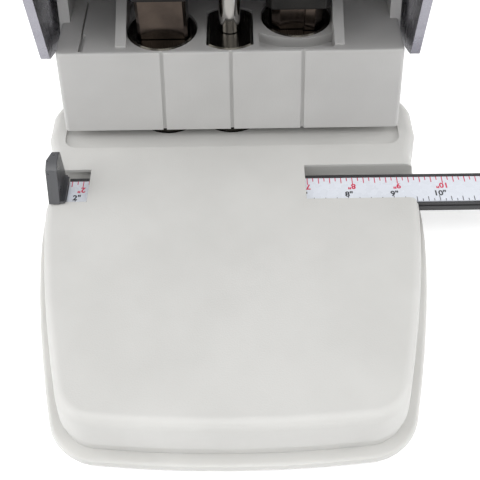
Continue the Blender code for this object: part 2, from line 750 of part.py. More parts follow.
def head_housing():
    lean, foot = 0.0015, DECK_TOP + CARD_GAP
    top_edge, edge_share, top_plate = 0.0008, 0.3, 0.0045
    housing = loft([
        (head_plan(HEAD_FOOT_HALF, 0, HEAD_REAR), foot),
        (head_plan(HEAD_TOP_HALF, lean, HEAD_REAR), HEAD_TOP - top_edge),
        (head_plan(HEAD_TOP_HALF - top_edge * edge_share, lean + top_edge * edge_share, HEAD_REAR),
         HEAD_TOP - top_edge * edge_share),
        (head_plan(HEAD_TOP_HALF - top_edge, lean + top_edge, HEAD_REAR), HEAD_TOP),
    ])
    seat = RECESS_FLOOR + FIT
    join(housing, box(-HEAD_FOOT_HALF, HEAD_FOOT_HALF, CAVITY_REAR, HEAD_REAR, seat, foot + top_edge))

    # Ribs and cheeks, which carry the pivot
    rib_front, rib_slope_share, rib_rise = 0.004, 0.488, 0.0005
    rib_start = HEAD_TOP + rib_rise
    boss, root = PIVOT_BOSS, HEAD_TOP - top_plate / 2
    crest_y = PIVOT_Y - boss
    rib = rounded([
        (rib_front, root, 0), (PIVOT_Y + boss, root, 0), (PIVOT_Y + boss, PIVOT_Z + boss, boss),
        (crest_y, rib_start + (crest_y - rib_front) * rib_slope_share, 0), (rib_front, rib_start, 0),
    ])
    cheek_front, cheek_lean, cheek_rise = 0.0137, 0.004, 0.0165
    cheek = rounded([
        (cheek_front, root, 0), (PIVOT_Y + boss, root, 0), (PIVOT_Y + boss, PIVOT_Z + boss, boss),
        (crest_y, PIVOT_Z + boss, boss), (cheek_front + 2 * cheek_lean, HEAD_TOP + cheek_rise, cheek_lean),
        (cheek_front + cheek_lean / 2, HEAD_TOP, 0),
    ])
    cheek_step, cheek_thickness = 0.0012, 0.003
    cheek_outer = HEAD_FOOT_HALF - cheek_step
    cheek_inner = cheek_outer - cheek_thickness
    for low, high in ((RIB_INNER, RIB_OUTER), (cheek_inner, cheek_outer)):
        outline = rib if low == RIB_INNER else cheek
        join(housing, prism([outline], low, high, "X"), prism([outline], -high, -low, "X"))

    # Hollow inside: one room round the barrels and three behind it, open at the rear
    cut(
        housing,
        box(
            HEAD_WALL - HEAD_TOP_HALF, HEAD_TOP_HALF - HEAD_WALL, CAVITY_FRONT, CAVITY_REAR,
            RECESS_FLOOR, HEAD_TOP - top_plate,
        ),
    )
    room_front, room_side = CAVITY_REAR + TRANSVERSE_WALL, HEAD_TOP_HALF - HEAD_WALL
    room_top = PIVOT_Z + 2 * boss
    for left, right in ((-room_side, -RIB_OUTER), (-RIB_INNER, RIB_INNER), (RIB_OUTER, room_side)):
        cut(housing, box(left, right, room_front, HEAD_REAR + OVERRUN, RECESS_FLOOR - OVERRUN, room_top))
    rib_rear = HEAD_REAR - COVER_THICKNESS - FIT
    low, high = RECESS_FLOOR - OVERRUN, room_top
    for side in (-1, 1):
        left, right = sorted((side * (RIB_INNER - FIT), side * (RIB_OUTER + FIT)))
        cut(housing, box(left, right, rib_rear, HEAD_REAR + OVERRUN, low, high))

    # Holes for the barrels and the axle
    for outline in station_outlines(FIT, BARREL_FLAT):
        cut(housing, prism([outline], HEAD_TOP - top_plate - FIT, HEAD_TOP + OVERRUN))
    reach = HEAD_FOOT_HALF + OVERRUN
    cut(housing, cylinder((PIVOT_Y, PIVOT_Z), AXLE_RADIUS + FIT, -reach, reach, "X"))
    head_details(housing, lean, foot)
    return keep("head_housing", housing, grey_plastic)


def head_details(housing, lean, foot):
    """The front wall's grooves, the pocket before the corner barrel and the slit by the left rib."""
    groove_half, groove_depth = 0.0005, 0.0006
    left_top, left_foot, middle, right_top, right_foot = 0.0004, -0.0007, 0.0002, 0.0012, 0.002
    for top_x, foot_x in (
        (SLOT_X + left_top, SLOT_X + left_foot), (middle, middle),
        (CORNER_X + right_top, CORNER_X + right_foot),
    ):
        rise = (top_x - foot_x) * OVERRUN / (HEAD_TOP - foot)
        low, high = foot - OVERRUN, HEAD_TOP + OVERRUN
        outline = [
            (foot_x - rise - groove_half, low), (foot_x - rise + groove_half, low),
            (top_x + rise + groove_half, high), (top_x + rise - groove_half, high),
        ]
        tool = prism([outline], -OVERRUN, groove_depth, "Y")
        for vertex in tool.data.vertices:
            vertex.co.y += lean * (vertex.co.z - foot) / (HEAD_TOP - foot)
        cut(housing, tool)
    pocket_before, pocket_behind, pocket_front, pocket_step = 0.0106, 0.0098, 0.0032, 0.0105
    pocket_left, pocket_right = CORNER_X - pocket_before, CORNER_X + pocket_behind
    pocket_back = CORNER_Y - pocket_step
    pocket_arc, pocket_radius, pocket_depth = 0.020, 0.0008, 0.003
    arc = []
    steps = 8
    for n in range(steps + 1):
        x = pocket_right + (pocket_left - pocket_right) * n / steps
        drop = math.sqrt(pocket_arc * pocket_arc - (x - CORNER_X) * (x - CORNER_X))
        arc.append((x, pocket_back + pocket_arc - drop, 0))
    pocket = rounded(
        [(pocket_left, pocket_front, pocket_radius), (pocket_right, pocket_front, pocket_radius)] + arc
    )
    cut(housing, prism([pocket], HEAD_TOP - pocket_depth, HEAD_TOP + OVERRUN))
    slit_set_in, slit_width, wide_width, slit_front, slit_step = 0.0062, 0.0005, 0.0013, 0.0024, 0.0099
    slit_rear, slit_depth = 0.026, 0.0014
    slit_left = slit_set_in - HEAD_TOP_HALF
    slit_right, slit_wide = slit_left + slit_width, slit_left + wide_width
    slit = [
        (slit_left, slit_front), (slit_wide, slit_front), (slit_wide, slit_step),
        (slit_right, slit_step), (slit_right, slit_rear), (slit_left, slit_rear),
    ]
    cut(housing, prism([slit], HEAD_TOP - slit_depth, HEAD_TOP + OVERRUN))


def stripper_plate():
    thickness, half = 0.003, HEAD_TOP_HALF - HEAD_WALL - FIT
    low = DECK_TOP + CARD_GAP + FIT
    plate = box(-half, half, CAVITY_FRONT + FIT, CAVITY_REAR - FIT, low, low + thickness)
    for outline in station_outlines(FIT, BARREL_FLAT):
        cut(plate, prism([outline], low - OVERRUN, low + thickness + OVERRUN))
    keep("stripper_plate", plate, bright_steel)


def card_stop():
    """A thin sheet over the dies' rear halves, with a foot behind them on the recess floor."""
    thickness, side_step, slot_stop, corner_back = 0.0007, 0.005, 0.0064, 0.0026
    bend_step, foot_step, foot_width, corner_stop = 0.010, 0.0141, 0.0042, 0.0035
    left, bend_x, foot_right = side_step - HEAD_FOOT_HALF, CORNER_X - bend_step, CORNER_X - foot_step
    rear = CAVITY_REAR - FIT
    foot_front = rear - foot_width
    front, corner_front = STATION_Y + slot_stop, CORNER_Y + corner_stop
    low, right = DECK_TOP + FIT, CORNER_X - corner_back
    outline = [
        (left, front), (bend_x, front), (bend_x, corner_front), (right, corner_front), (right, rear),
        (left, rear),
    ]
    stop = prism([outline], low, low + thickness)
    join(stop, box(left + FIT, foot_right, foot_front, rear - FIT, RECESS_FLOOR + FIT, low + FIT))
    keep("card_stop", stop, bright_steel)


def frames():
    foot_height, waist_drop = 0.0025, 0.017
    front, rear, boss, waist = FRAME_FRONT, FRAME_REAR, PIVOT_BOSS, HEAD_TOP - waist_drop
    low = RECESS_FLOOR + FIT
    profile = rounded([
        (front, low, 0), (rear, low, 0), (rear, waist, 0), (PIVOT_Y + boss, PIVOT_Z, 0),
        (PIVOT_Y + boss, PIVOT_Z + boss, boss), (PIVOT_Y - boss, PIVOT_Z + boss, boss),
        (PIVOT_Y - boss, PIVOT_Z, 0), (front, waist, 0),
    ])
    profile = [point for n, point in enumerate(profile) if point != profile[n - 1]]
    bore = circle(PIVOT_Y, PIVOT_Z, AXLE_RADIUS + FIT, 24)
    for side, name in ((-1, "frame_left"), (1, "frame_right")):
        near, far = sorted((side * FRAME_INNER, side * FRAME_OUTER))
        frame = prism([profile, bore], near, far, "X")
        near, far = sorted((side * FRAME_FOOT_INNER, side * (FRAME_INNER + FIT)))
        join(frame, box(near, far, front, rear, low, low + foot_height))
        hole_low, hole_high = low - OVERRUN, low + foot_height + OVERRUN
        for y in (FRONT_SCREW_Y, REAR_SCREW_Y):
            spot = (side * FRAME_SCREW_X, y)
            cut(frame, cylinder(spot, SCREW_RADIUS + FIT, hole_low, hole_high, count=16))
        keep(name, frame, bright_steel)
    length = low + foot_height - DIE_PLATE_LOW + SCREW_HEAD_HEIGHT / 2
    for n, (side, y) in enumerate(FRAME_SCREW_SPOTS):
        made = screw((side * FRAME_SCREW_X, y, low + foot_height + FIT), (0, 0, 0), length)
        keep(f"frame_screw_{n + 1}", made, bright_steel)


def screw(place, turn, length, head_radius=SCREW_HEAD_RADIUS, radius=SCREW_RADIUS):
    """A pan-head screw: its head's underside is at its place, and its shank points down before the turn."""
    edge, recess_depth = SCREW_HEAD_HEIGHT / 3, SCREW_HEAD_HEIGHT / 2
    profile = [
        (0, SCREW_HEAD_HEIGHT - recess_depth), (radius, SCREW_HEAD_HEIGHT - recess_depth),
        (radius, SCREW_HEAD_HEIGHT), (head_radius - edge, SCREW_HEAD_HEIGHT),
        (head_radius, SCREW_HEAD_HEIGHT - edge), (head_radius, 0), (radius, 0), (radius, -length),
        (0, -length),
    ]
    return turned(profile, place, turn, 16)


def rear_cover():
    half = HEAD_TOP_HALF - HEAD_WALL - FIT
    shoulder_rise, top_set_in, top_rise = 0.002, 0.008, 0.0035
    front, rear = HEAD_REAR - COVER_THICKNESS, HEAD_REAR
    low, shoulder = RECESS_FLOOR + FIT, HEAD_TOP + shoulder_rise
    top_y, top_z = HEAD_REAR - top_set_in, PIVOT_Z + top_rise
    profile = [
        (front, low), (rear, low), (rear, shoulder), (top_y + COVER_THICKNESS, top_z),
        (top_y, top_z), (front, shoulder - COVER_THICKNESS / 2),
    ]
    cover = prism([profile], -half, half, "X")
    head_radius, radius, screw_drop = 0.00145, 0.0007, 0.007
    x, z = (RIB_INNER + RIB_OUTER) / 2, HEAD_TOP - screw_drop
    for side, name in ((-1, "rear_screw_left"), (1, "rear_screw_right")):
        cut(cover, cylinder((side * x, z), radius + FIT, front - OVERRUN, rear + OVERRUN, "Y"))
        place = (side * x, rear + FIT, z)
        made = screw(place, (-math.pi / 2, 0, 0), COVER_THICKNESS, head_radius, radius)
        keep(name, made, bright_steel)
    keep("rear_cover", cover, black_plastic)


def axle():
    """The axle with a groove near each end, and a clip in each groove outside the handle's flange."""
    clip_start, clip_thickness, clip_radius = 0.0005, 0.001, 0.0062
    groove_depth, end, edge = 0.0009, 0.001, 0.0004
    inner = HANDLE_HALF + clip_start
    outer = inner + clip_thickness + 2 * FIT
    tip = outer + end
    groove = AXLE_RADIUS - groove_depth
    half_profile = [
        (0, tip), (AXLE_RADIUS - edge, tip), (AXLE_RADIUS, tip - edge), (AXLE_RADIUS, outer), (groove, outer),
        (groove, inner), (AXLE_RADIUS, inner),
    ]
    profile = half_profile + [(radius, -height) for radius, height in reversed(half_profile)]
    keep("pivot_axle", turned(profile, (0, PIVOT_Y, PIVOT_Z), (0, math.pi / 2, 0), 24), bright_steel)
    bore = circle(PIVOT_Y, PIVOT_Z, groove + FIT, 20)
    rim = circle(PIVOT_Y, PIVOT_Z, clip_radius, 24)
    for side, name in ((-1, "axle_clip_left"), (1, "axle_clip_right")):
        near, far = sorted((side * (inner + FIT), side * (inner + FIT + clip_thickness)))
        clip = prism([rim, bore], near, far, "X")
        keep(name, clip, bright_steel)


def handle_spring():
    """A torsion spring round the axle: one leg on the head's cross wall, the other under the handle."""
    radius, wire, curls, pitch, points_a_curl = 0.0062, 0.0008, 6, 0.0022, 9
    seat_y, seat_z = CAVITY_REAR + TRANSVERSE_WALL / 2, HEAD_TOP + wire + 2 * FIT
    lift_y = 0.030
    lift_z = crest(lift_y) - HANDLE_SHEET - wire - 2 * FIT

    def leg_angle(y, z, side):
        """Where a leg from this place meets the coil at a tangent."""
        reach = math.hypot(y - PIVOT_Y, z - PIVOT_Z)
        return math.atan2(z - PIVOT_Z, y - PIVOT_Y) + side * math.acos(radius / reach)

    start = leg_angle(seat_y, seat_z, 1)
    sweep = leg_angle(lift_y, lift_z, -1) - start + math.tau * curls
    count = round(sweep / math.tau * points_a_curl)
    half_width = pitch * sweep / math.tau / 2
    points = [(-half_width, seat_y, seat_z)]
    for n in range(count + 1):
        angle = start + sweep * n / count
        x = half_width * (2 * n / count - 1)
        points.append((x, PIVOT_Y + radius * math.cos(angle), PIVOT_Z + radius * math.sin(angle)))
    points.append((half_width, lift_y, lift_z))
    print(f"handle_spring: least gap between curls {(pitch - 2 * wire) * DRAWING_SCALE:.2f} mm")
    keep("handle_spring", tube(points, wire), bright_steel)


# Handle
HANDLE_FRONT = -0.0028
HANDLE_BOSS = 0.012
HANDLE_DROP = 0.012692
HANDLE_REAR = PIVOT_Y + HANDLE_BOSS
HANDLE_FALL_SHARE = HANDLE_DROP / (HANDLE_REAR - HANDLE_FRONT)
RAIL_CLEARANCE = 0.006
RAIL_HEIGHT = 0.004
RAIL_HALF_DEPTH = 0.004
RAIL_LOW = CAP_TOP + RAIL_CLEARANCE
RAIL_HIGH = RAIL_LOW + RAIL_HEIGHT
RAIL_Y = STATION_Y
RAIL_Z = (RAIL_LOW + RAIL_HIGH) / 2
RAIL_FRONT = RAIL_Y - RAIL_HALF_DEPTH
RAIL_REAR = RAIL_Y + RAIL_HALF_DEPTH
GRIP_SCREW_SET_IN = 0.0215
GRIP_SCREW_X = HANDLE_HALF - GRIP_SCREW_SET_IN
GRIP_SCREW_Y = 0.022


def crest(y):
    """Height of the handle's top face at a given depth."""
    return HANDLE_CREST - (y - HANDLE_FRONT) * HANDLE_FALL_SHARE


def handle_shell():
    foot_front, foot_drop, foot_radius, belly_drop, belly_radius = 0.002, 0.0021, 0.0012, 0.011, 0.008
    belly_set_in, belly_length = 0.008, 0.020
    belly_rear = PIVOT_Y - belly_set_in
    belly_front = belly_rear - belly_length
    round_radius, edge_radius, front_radius = 0.010, 0.0045, 0.002
    foot_low, belly_low, rear = HEAD_TOP - foot_drop, HEAD_TOP - belly_drop, HANDLE_REAR
    profile = rounded([
        (foot_front, foot_low, foot_radius), (belly_front, belly_low, belly_radius),
        (belly_rear, belly_low, belly_radius), (rear, PIVOT_Z - HANDLE_BOSS, round_radius),
        (rear, crest(rear), round_radius), (HANDLE_FRONT, HANDLE_CREST, front_radius),
    ])
    shell = prism([profile], -HANDLE_HALF, HANDLE_HALF, "X")
    flank, lowest, first = HANDLE_HALF - FIT, RAIL_LOW - edge_radius, HANDLE_FRONT + front_radius

    def is_top_edge(middle, way):
        on_flank = abs(middle.x) > flank and abs(way.x) < abs(way.y) + abs(way.z)
        return on_flank and middle.z > lowest and middle.y > first

    ease(shell, edge_radius, 4, is_top_edge)
    inner = HANDLE_HALF - HANDLE_SHEET
    front, back = HANDLE_FRONT - OVERRUN, rear + OVERRUN
    hollow = [
        (front, belly_low - OVERRUN), (back, belly_low - OVERRUN),
        (back, crest(back) - HANDLE_SHEET), (front, crest(front) - HANDLE_SHEET),
    ]
    cut(shell, prism([hollow], -inner, inner, "X"))
    reach = HANDLE_HALF + OVERRUN
    cut(
        shell,
        cylinder((PIVOT_Y, PIVOT_Z), AXLE_RADIUS + FIT, -reach, reach, "X"),
        cylinder((RAIL_Y, RAIL_Z), SCREW_RADIUS + FIT, -reach, reach, "X"),
    )
    hole_low, hole_high = PIVOT_Z, HANDLE_CREST + OVERRUN
    for side in (-1, 1):
        spot = (side * GRIP_SCREW_X, GRIP_SCREW_Y)
        cut(shell, cylinder(spot, SCREW_RADIUS + FIT, hole_low, hole_high))
    keep("handle_shell", shell, dark_nickel, carriers["handle_press"])


def handle_grip():
    """A moulded palm pad that lies along the handle's sloping top and stands out in front of it."""
    side_step, nose, rear, corner = 0.0085, 0.019, 0.036, 0.009
    half = HANDLE_HALF - side_step
    levels = ((0.0, 0.0012), (0.0012, 0.0), (0.0045, 0.0), (0.0066, 0.0012), (0.0078, 0.0036))
    plan = head_plan(half, -nose, rear, corner)
    grip = loft([(inset(plan, step), height) for height, step in levels])
    slope = math.atan(HANDLE_FALL_SHARE)
    place = Matrix.Translation((0, HANDLE_FRONT, HANDLE_CREST + 2 * FIT)) @ Matrix.Rotation(-slope, 4, "X")
    grip.data.transform(place)
    head_low = crest(GRIP_SCREW_Y) - HANDLE_SHEET - 3 * FIT
    depth = HANDLE_SHEET + 3 * FIT + levels[2][0] - levels[1][0]
    for side, name in ((-1, "grip_screw_left"), (1, "grip_screw_right")):
        spot = (side * GRIP_SCREW_X, GRIP_SCREW_Y)
        cut(grip, cylinder(spot, SCREW_RADIUS + FIT, head_low, head_low + depth + FIT, count=16))
        made = screw((*spot, head_low), (math.pi, 0, 0), depth)
        keep(name, made, bright_steel, carriers["handle_press"])
    keep("handle_grip", grip, black_plastic, carriers["handle_press"])


def presser_rail():
    half = HANDLE_HALF - HANDLE_SHEET - FIT
    rail = box(-half, half, RAIL_FRONT, RAIL_REAR, RAIL_LOW, RAIL_HIGH)
    grip_length = 0.005
    length = HANDLE_SHEET + FIT + grip_length
    for side, name in ((-1, "rail_screw_left"), (1, "rail_screw_right")):
        near, far = sorted((side * (half - grip_length - 2 * FIT), side * (half + OVERRUN)))
        cut(rail, cylinder((RAIL_Y, RAIL_Z), SCREW_RADIUS + FIT, near, far, "X", 16))
        made = screw((side * (HANDLE_HALF + FIT), RAIL_Y, RAIL_Z), (0, side * math.pi / 2, 0), length)
        keep(name, made, bright_steel, carriers["handle_press"])
    keep("presser_rail", rail, bright_steel, carriers["handle_press"])


def selector():
    """The presser block hangs on the rail, and its stem carries a knob in front of it."""
    half, side_wall, nose_half, nose_radius, top_wall = 0.006, 0.0017, 0.004, 0.00392, 0.002
    nose_low = CAP_TOP + FIT
    front, rear = RAIL_FRONT - FIT - side_wall, RAIL_REAR + FIT + side_wall
    top, low = RAIL_HIGH + FIT + top_wall, RAIL_LOW - FIT - top_wall / 4
    nose_front, nose_rear = STATION_Y - nose_half, STATION_Y + nose_half
    profile = rounded([
        (nose_front, nose_low, nose_radius), (nose_rear, nose_low, nose_radius),
        (nose_rear, low - side_wall / 2, 0), (rear, low, 0), (rear, top, 0), (front, top, 0), (front, low, 0),
        (nose_front, low - side_wall / 2, 0),
    ])
    block = prism([profile], -half, half, "X")
    reach = half + OVERRUN
    cut(block, box(-reach, reach, RAIL_FRONT - FIT, RAIL_REAR + FIT, RAIL_LOW - FIT, RAIL_HIGH + FIT))
    stem_half, stem_rise, stem_length = 0.0016, 0.0025, 0.0108
    stem_low, stem_high = RAIL_Z + stem_rise - stem_half, RAIL_Z + stem_rise + stem_half
    stem_front = front - stem_length
    join(block, box(-stem_half, stem_half, stem_front, front + side_wall / 2, stem_low, stem_high))
    keep("presser_block", block, bright_steel, carriers["selector_slide"])
    radius, edge, length, shoulder, bore = 0.004, 0.0008, 0.007, 0.0028, 0.0027
    tip = stem_front + 2 * edge
    profile = [
        (0, length), (radius - edge, length), (radius, length - edge), (radius, shoulder), (shoulder, 0),
        (bore, 0), (bore, 2 * edge + FIT), (0, 2 * edge + FIT),
    ]
    knob = turned(profile, (0, tip, (stem_low + stem_high) / 2), (math.pi / 2, 0, 0), 20)
    keep("selector_knob", knob, black_plastic, carriers["selector_slide"])


# Guide
SCALE_THICKNESS = 0.0005
SCALE_REAR = -0.0169
SCALE_FRONT = -0.0260


def guide():
    rail_right = RULER_LEFT + RULER_LENGTH
    low = RULER_TOP - RULER_HEIGHT
    groove_low, groove_high, groove_depth = 0.0149, 0.0155, 0.0004
    floor = RULER_TOP - SCALE_THICKNESS - FIT
    profile = [
        (RULER_FRONT, low), (RULER_REAR, low), (RULER_REAR, RULER_TOP), (SCALE_REAR + FIT, RULER_TOP),
        (SCALE_REAR + FIT, floor), (SCALE_FRONT - FIT / 2, floor), (SCALE_FRONT - FIT / 2, RULER_TOP - FIT),
        (RULER_FRONT, RULER_TOP - FIT), (RULER_FRONT, groove_high), (RULER_FRONT + groove_depth, groove_high),
        (RULER_FRONT + groove_depth, groove_low), (RULER_FRONT, groove_low),
    ]
    rail = prism([profile], RULER_LEFT, rail_right, "X")
    screw_length, screw_z = 0.0075, low + RULER_HEIGHT / 2 - FIT
    screw_y = (RULER_FRONT + RULER_REAR) / 2
    thin = 0.0005
    near, far = RULER_LEFT - OVERRUN, RULER_LEFT + screw_length
    cut(rail, cylinder((screw_y, screw_z), thin + FIT, near, far, "X", 12))
    keep("guide_rail", rail, black_plastic, carriers["guide_slide"])
    scale = box(RULER_LEFT, rail_right, SCALE_FRONT, SCALE_REAR, RULER_TOP - SCALE_THICKNESS, RULER_TOP)
    keep("guide_scale", scale, white_print, carriers["guide_slide"])
    guide_stop(screw_y, screw_z, thin, screw_length)
    wall, cap_length, lap = 0.0008, 0.0042, 0.003
    left = rail_right - lap
    cap = box(
        left, left + cap_length, RULER_FRONT - FIT - wall, RULER_REAR + FIT + wall, low - FIT - wall,
        RULER_TOP + FIT + wall,
    )
    ease(cap, wall, 2, lambda middle, way: middle.x > left + cap_length / 2)
    pocket = box(
        left - OVERRUN, rail_right + FIT, RULER_FRONT - FIT, RULER_REAR + FIT, low - FIT, RULER_TOP + FIT
    )
    cut(cap, pocket)
    keep("guide_end_cap", cap, black_plastic, carriers["guide_slide"])


def guide_stop(screw_y, screw_z, thin, screw_length):
    """A fin above the deck, whose foot wraps the ruler's end and reaches down to it in the channel."""
    fin_step, fin_thickness = 0.001, 0.0031
    fin_right, foot_right = RULER_LEFT - fin_step, RULER_LEFT + FIT
    fin_left = fin_right - fin_thickness
    low, foot_top, top, rear, rear_chamfer = DECK_TOP + FIT, 0.0189, 0.028, -0.0154, 0.001
    crest_front, shoulder_front, shoulder_z, toe = -0.0200, -0.0225, 0.0270, -0.0270
    profile = [
        (toe, low), (rear, low), (rear, top - rear_chamfer), (rear - rear_chamfer, top), (crest_front, top),
        (shoulder_front, shoulder_z), (toe, low + FIT),
    ]
    fin = prism([profile], fin_left, fin_right, "X")
    tongue_low = RULER_TOP - RULER_HEIGHT
    join(
        fin,
        box(fin_left + FIT, foot_right, toe + FIT, SCALE_REAR, low, foot_top),
        box(fin_left, RULER_LEFT - FIT, SCALE_FRONT + 2 * FIT, RULER_REAR - FIT, tongue_low, low + FIT),
    )
    taper, taper_length, beyond_share = 0.0014, 0.0041, 0.5
    near, far = fin_left - taper * beyond_share, fin_left + taper * (1 + beyond_share)
    front, back = rear - taper_length * (1 + beyond_share), rear + taper_length * beyond_share
    cut(fin, prism([[(near, front), (far, back), (near, back)]], tongue_low - OVERRUN, top + OVERRUN))
    reach = RULER_LEFT + screw_length
    cut(fin, cylinder((screw_y, screw_z), thin + FIT, fin_left - OVERRUN, reach, "X", 12))
    keep("guide_stop", fin, grey_rubber, carriers["guide_slide"])
    head, head_height, gap = 0.0011, 0.0008, FIT
    length = RULER_LEFT + screw_length - FIT - (fin_left - gap)
    profile = [(0, head_height), (head, head_height), (head, 0), (thin, 0), (thin, -length), (0, -length)]
    made = turned(profile, (fin_left - gap, screw_y, screw_z), (0, -math.pi / 2, 0), 12)
    keep("stop_screw", made, bright_steel, carriers["guide_slide"])


def guide_leaf_spring():
    """A bowed leaf between the channel's rear wall and the ruler, under the bridged stretch."""
    _, channel_rear, channel_floor, _ = channel_sizes()
    half, thickness, middle, clear = 0.014, 0.0005, -0.010, 0.0002
    rear, front = channel_rear - FIT, RULER_REAR + FIT + thickness
    steps = 10
    back = []
    for n in range(steps + 1):
        share = n / steps * 2 - 1
        back.append((middle + half * share, front + (rear - front) * share * share))
    face = [(x, y - thickness) for x, y in back]
    leaf = prism([face + back[::-1]], channel_floor + clear, RULER_TOP - FIT)
    keep("guide_leaf_spring", leaf, bright_steel)


# Tray
def chip_tray():
    low, floor, rim_edge, rim_top, stand_top = 0.0013, 0.0031, 0.0032, 0.0046, DECK_SKIRT - FIT
    foot_step, low_step, edge_step, wall, stand = 0.0012, 0.0003, 0.00035, 0.002, 0.0004
    plan = base_plan()
    inner = RIM_STEP + stand + wall
    levels = (
        (foot_step, low), (low_step, low + (rim_edge - low) / 3), (0, rim_edge),
        (edge_step, (rim_edge + 2 * rim_top) / 3), (foot_step, rim_top), (RIM_STEP + stand, rim_top),
        (RIM_STEP + stand, stand_top), (inner, stand_top), (inner, floor),
    )
    tray = loft([(inset(plan, step), height) for step, height in levels])
    reach = BASE_REAR - foot_step
    for side in (-1, 1):
        near, far = sorted((side * (DECK_KNUCKLE_HALF + FIT), side * TRAY_KNUCKLE_HALF))
        join(
            tray,
            box(near, far, reach, HINGE_Y - FIT, low + low_step, HINGE_Z + FIT),
            cylinder((HINGE_Y, HINGE_Z), HINGE_RADIUS, near, far, "X", 20),
        )
    half = TRAY_KNUCKLE_HALF + OVERRUN
    cut(tray, cylinder((HINGE_Y, HINGE_Z), HINGE_PIN_RADIUS + FIT, -half, half, "X", 16))
    keep("chip_tray", tray, pale_plastic, carriers["tray_hinge"])
    mat_inset, mat_height = 0.006, 0.001
    mat = prism([inset(plan, mat_inset)], 0, mat_height)
    keep("non_slip_mat", mat, grey_rubber, carriers["tray_hinge"])
    pin = cylinder((HINGE_Y, HINGE_Z), HINGE_PIN_RADIUS, -TRAY_KNUCKLE_HALF, TRAY_KNUCKLE_HALF, "X", 16)
    keep("tray_hinge_pin", pin, bright_steel)


clear_scene()
parts = new_collection("id_card_hole_punch")
cutters = new_collection("cutters")

grey_plastic = material("grey_plastic", (0.60, 0.60, 0.59), 0.42)
pale_plastic = material("pale_plastic", (0.66, 0.66, 0.65), 0.35)
black_plastic = material("black_plastic", (0.02, 0.02, 0.022), 0.45)
grey_rubber = material("grey_rubber", (0.06, 0.06, 0.065), 0.6)
white_print = material("white_print", (0.82, 0.84, 0.88), 0.4)
dark_nickel = material("dark_nickel", (0.24, 0.235, 0.265), 0.2, 1.0)
black_steel = material("black_steel", (0.05, 0.05, 0.05), 0.35, 0.9)
dark_steel = material("dark_steel", (0.16, 0.15, 0.14), 0.25, 1.0)
bright_steel = material("bright_steel", (0.62, 0.61, 0.60), 0.22, 1.0)

carriers = {
    "handle_press": carrier_at("handle_press", (0, PIVOT_Y, PIVOT_Z)),
    "guide_slide": carrier_at("guide_slide", (RULER_LEFT, (RULER_FRONT + RULER_REAR) / 2, RULER_TOP)),
    "tray_hinge": carrier_at("tray_hinge", (0, HINGE_Y, HINGE_Z)),
}
carriers["selector_slide"] = carrier_at(
    "selector_slide", (0, STATION_Y, (RAIL_LOW + RAIL_HIGH) / 2), carriers["handle_press"]
)
for station, (station_x, station_y) in zip(STATION_NAMES, STATION_PLACES):
    carriers[f"{station}_press"] = carrier_at(f"{station}_press", (station_x, station_y, BODY_TOP))

deck_shell()
chip_tray()
die_plate()
dies()
card_stop()
barrels()
springs()
punches()
caps()
head_housing()
stripper_plate()
frames()
rear_cover()
axle()
handle_spring()
handle_shell()
handle_grip()
presser_rail()
selector()
guide()
guide_leaf_spring()
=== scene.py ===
"""A desk punch for plastic cards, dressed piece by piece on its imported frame. Metres, +Z up."""
import math

import bmesh
import bpy
import numpy as np
from mathutils import Matrix, Vector


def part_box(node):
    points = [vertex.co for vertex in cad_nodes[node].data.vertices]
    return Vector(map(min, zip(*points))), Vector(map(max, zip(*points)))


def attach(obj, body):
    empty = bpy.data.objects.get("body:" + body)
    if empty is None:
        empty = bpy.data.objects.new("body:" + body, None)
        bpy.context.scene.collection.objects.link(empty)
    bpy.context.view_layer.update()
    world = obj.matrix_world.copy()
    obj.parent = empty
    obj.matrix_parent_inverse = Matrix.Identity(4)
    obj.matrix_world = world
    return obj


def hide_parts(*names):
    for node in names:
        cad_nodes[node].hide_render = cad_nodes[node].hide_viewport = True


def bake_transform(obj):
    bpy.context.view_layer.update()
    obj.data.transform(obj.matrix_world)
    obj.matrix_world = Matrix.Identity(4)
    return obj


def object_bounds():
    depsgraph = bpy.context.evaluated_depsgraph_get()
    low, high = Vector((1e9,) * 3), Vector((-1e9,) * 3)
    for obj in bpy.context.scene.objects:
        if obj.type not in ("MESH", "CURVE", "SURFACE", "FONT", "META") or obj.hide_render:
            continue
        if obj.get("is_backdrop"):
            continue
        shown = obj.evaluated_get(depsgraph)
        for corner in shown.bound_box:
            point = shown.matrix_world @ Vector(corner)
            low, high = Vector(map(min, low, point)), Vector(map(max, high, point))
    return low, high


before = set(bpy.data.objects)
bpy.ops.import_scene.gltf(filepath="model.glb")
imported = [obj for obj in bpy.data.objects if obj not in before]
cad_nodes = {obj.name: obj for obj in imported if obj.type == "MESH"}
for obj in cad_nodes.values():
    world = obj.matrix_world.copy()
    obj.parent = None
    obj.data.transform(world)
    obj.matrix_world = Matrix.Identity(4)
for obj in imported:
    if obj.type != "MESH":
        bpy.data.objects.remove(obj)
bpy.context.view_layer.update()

# Camera
# It stands in front of the punch and looks down on its deck, at the angle of the photograph.
# The photograph's top edge cuts through the handle, so the grip and the handle's top lie above the frame.
camera_place = (0.002954, -0.169723, 0.176995)
pitch, roll, yaw = math.radians(50.835), math.radians(-1.081), math.radians(-0.394)
camera = bpy.data.objects.new("camera", bpy.data.cameras.new("camera"))
bpy.context.scene.collection.objects.link(camera)
bpy.context.scene.camera = camera
camera.data.sensor_width = 36
camera.data.lens = 58.26
camera.data.clip_start = 0.01
forward = Vector((math.sin(yaw) * math.cos(pitch), math.cos(yaw) * math.cos(pitch), -math.sin(pitch)))
level = Vector((math.cos(yaw), -math.sin(yaw), 0))
upright = level.cross(forward)
right = level * math.cos(roll) + upright * math.sin(roll)
above = upright * math.cos(roll) - level * math.sin(roll)
camera_turn = Matrix((right, above, -forward)).transposed().to_4x4()
camera.matrix_world = Matrix.Translation(camera_place) @ camera_turn

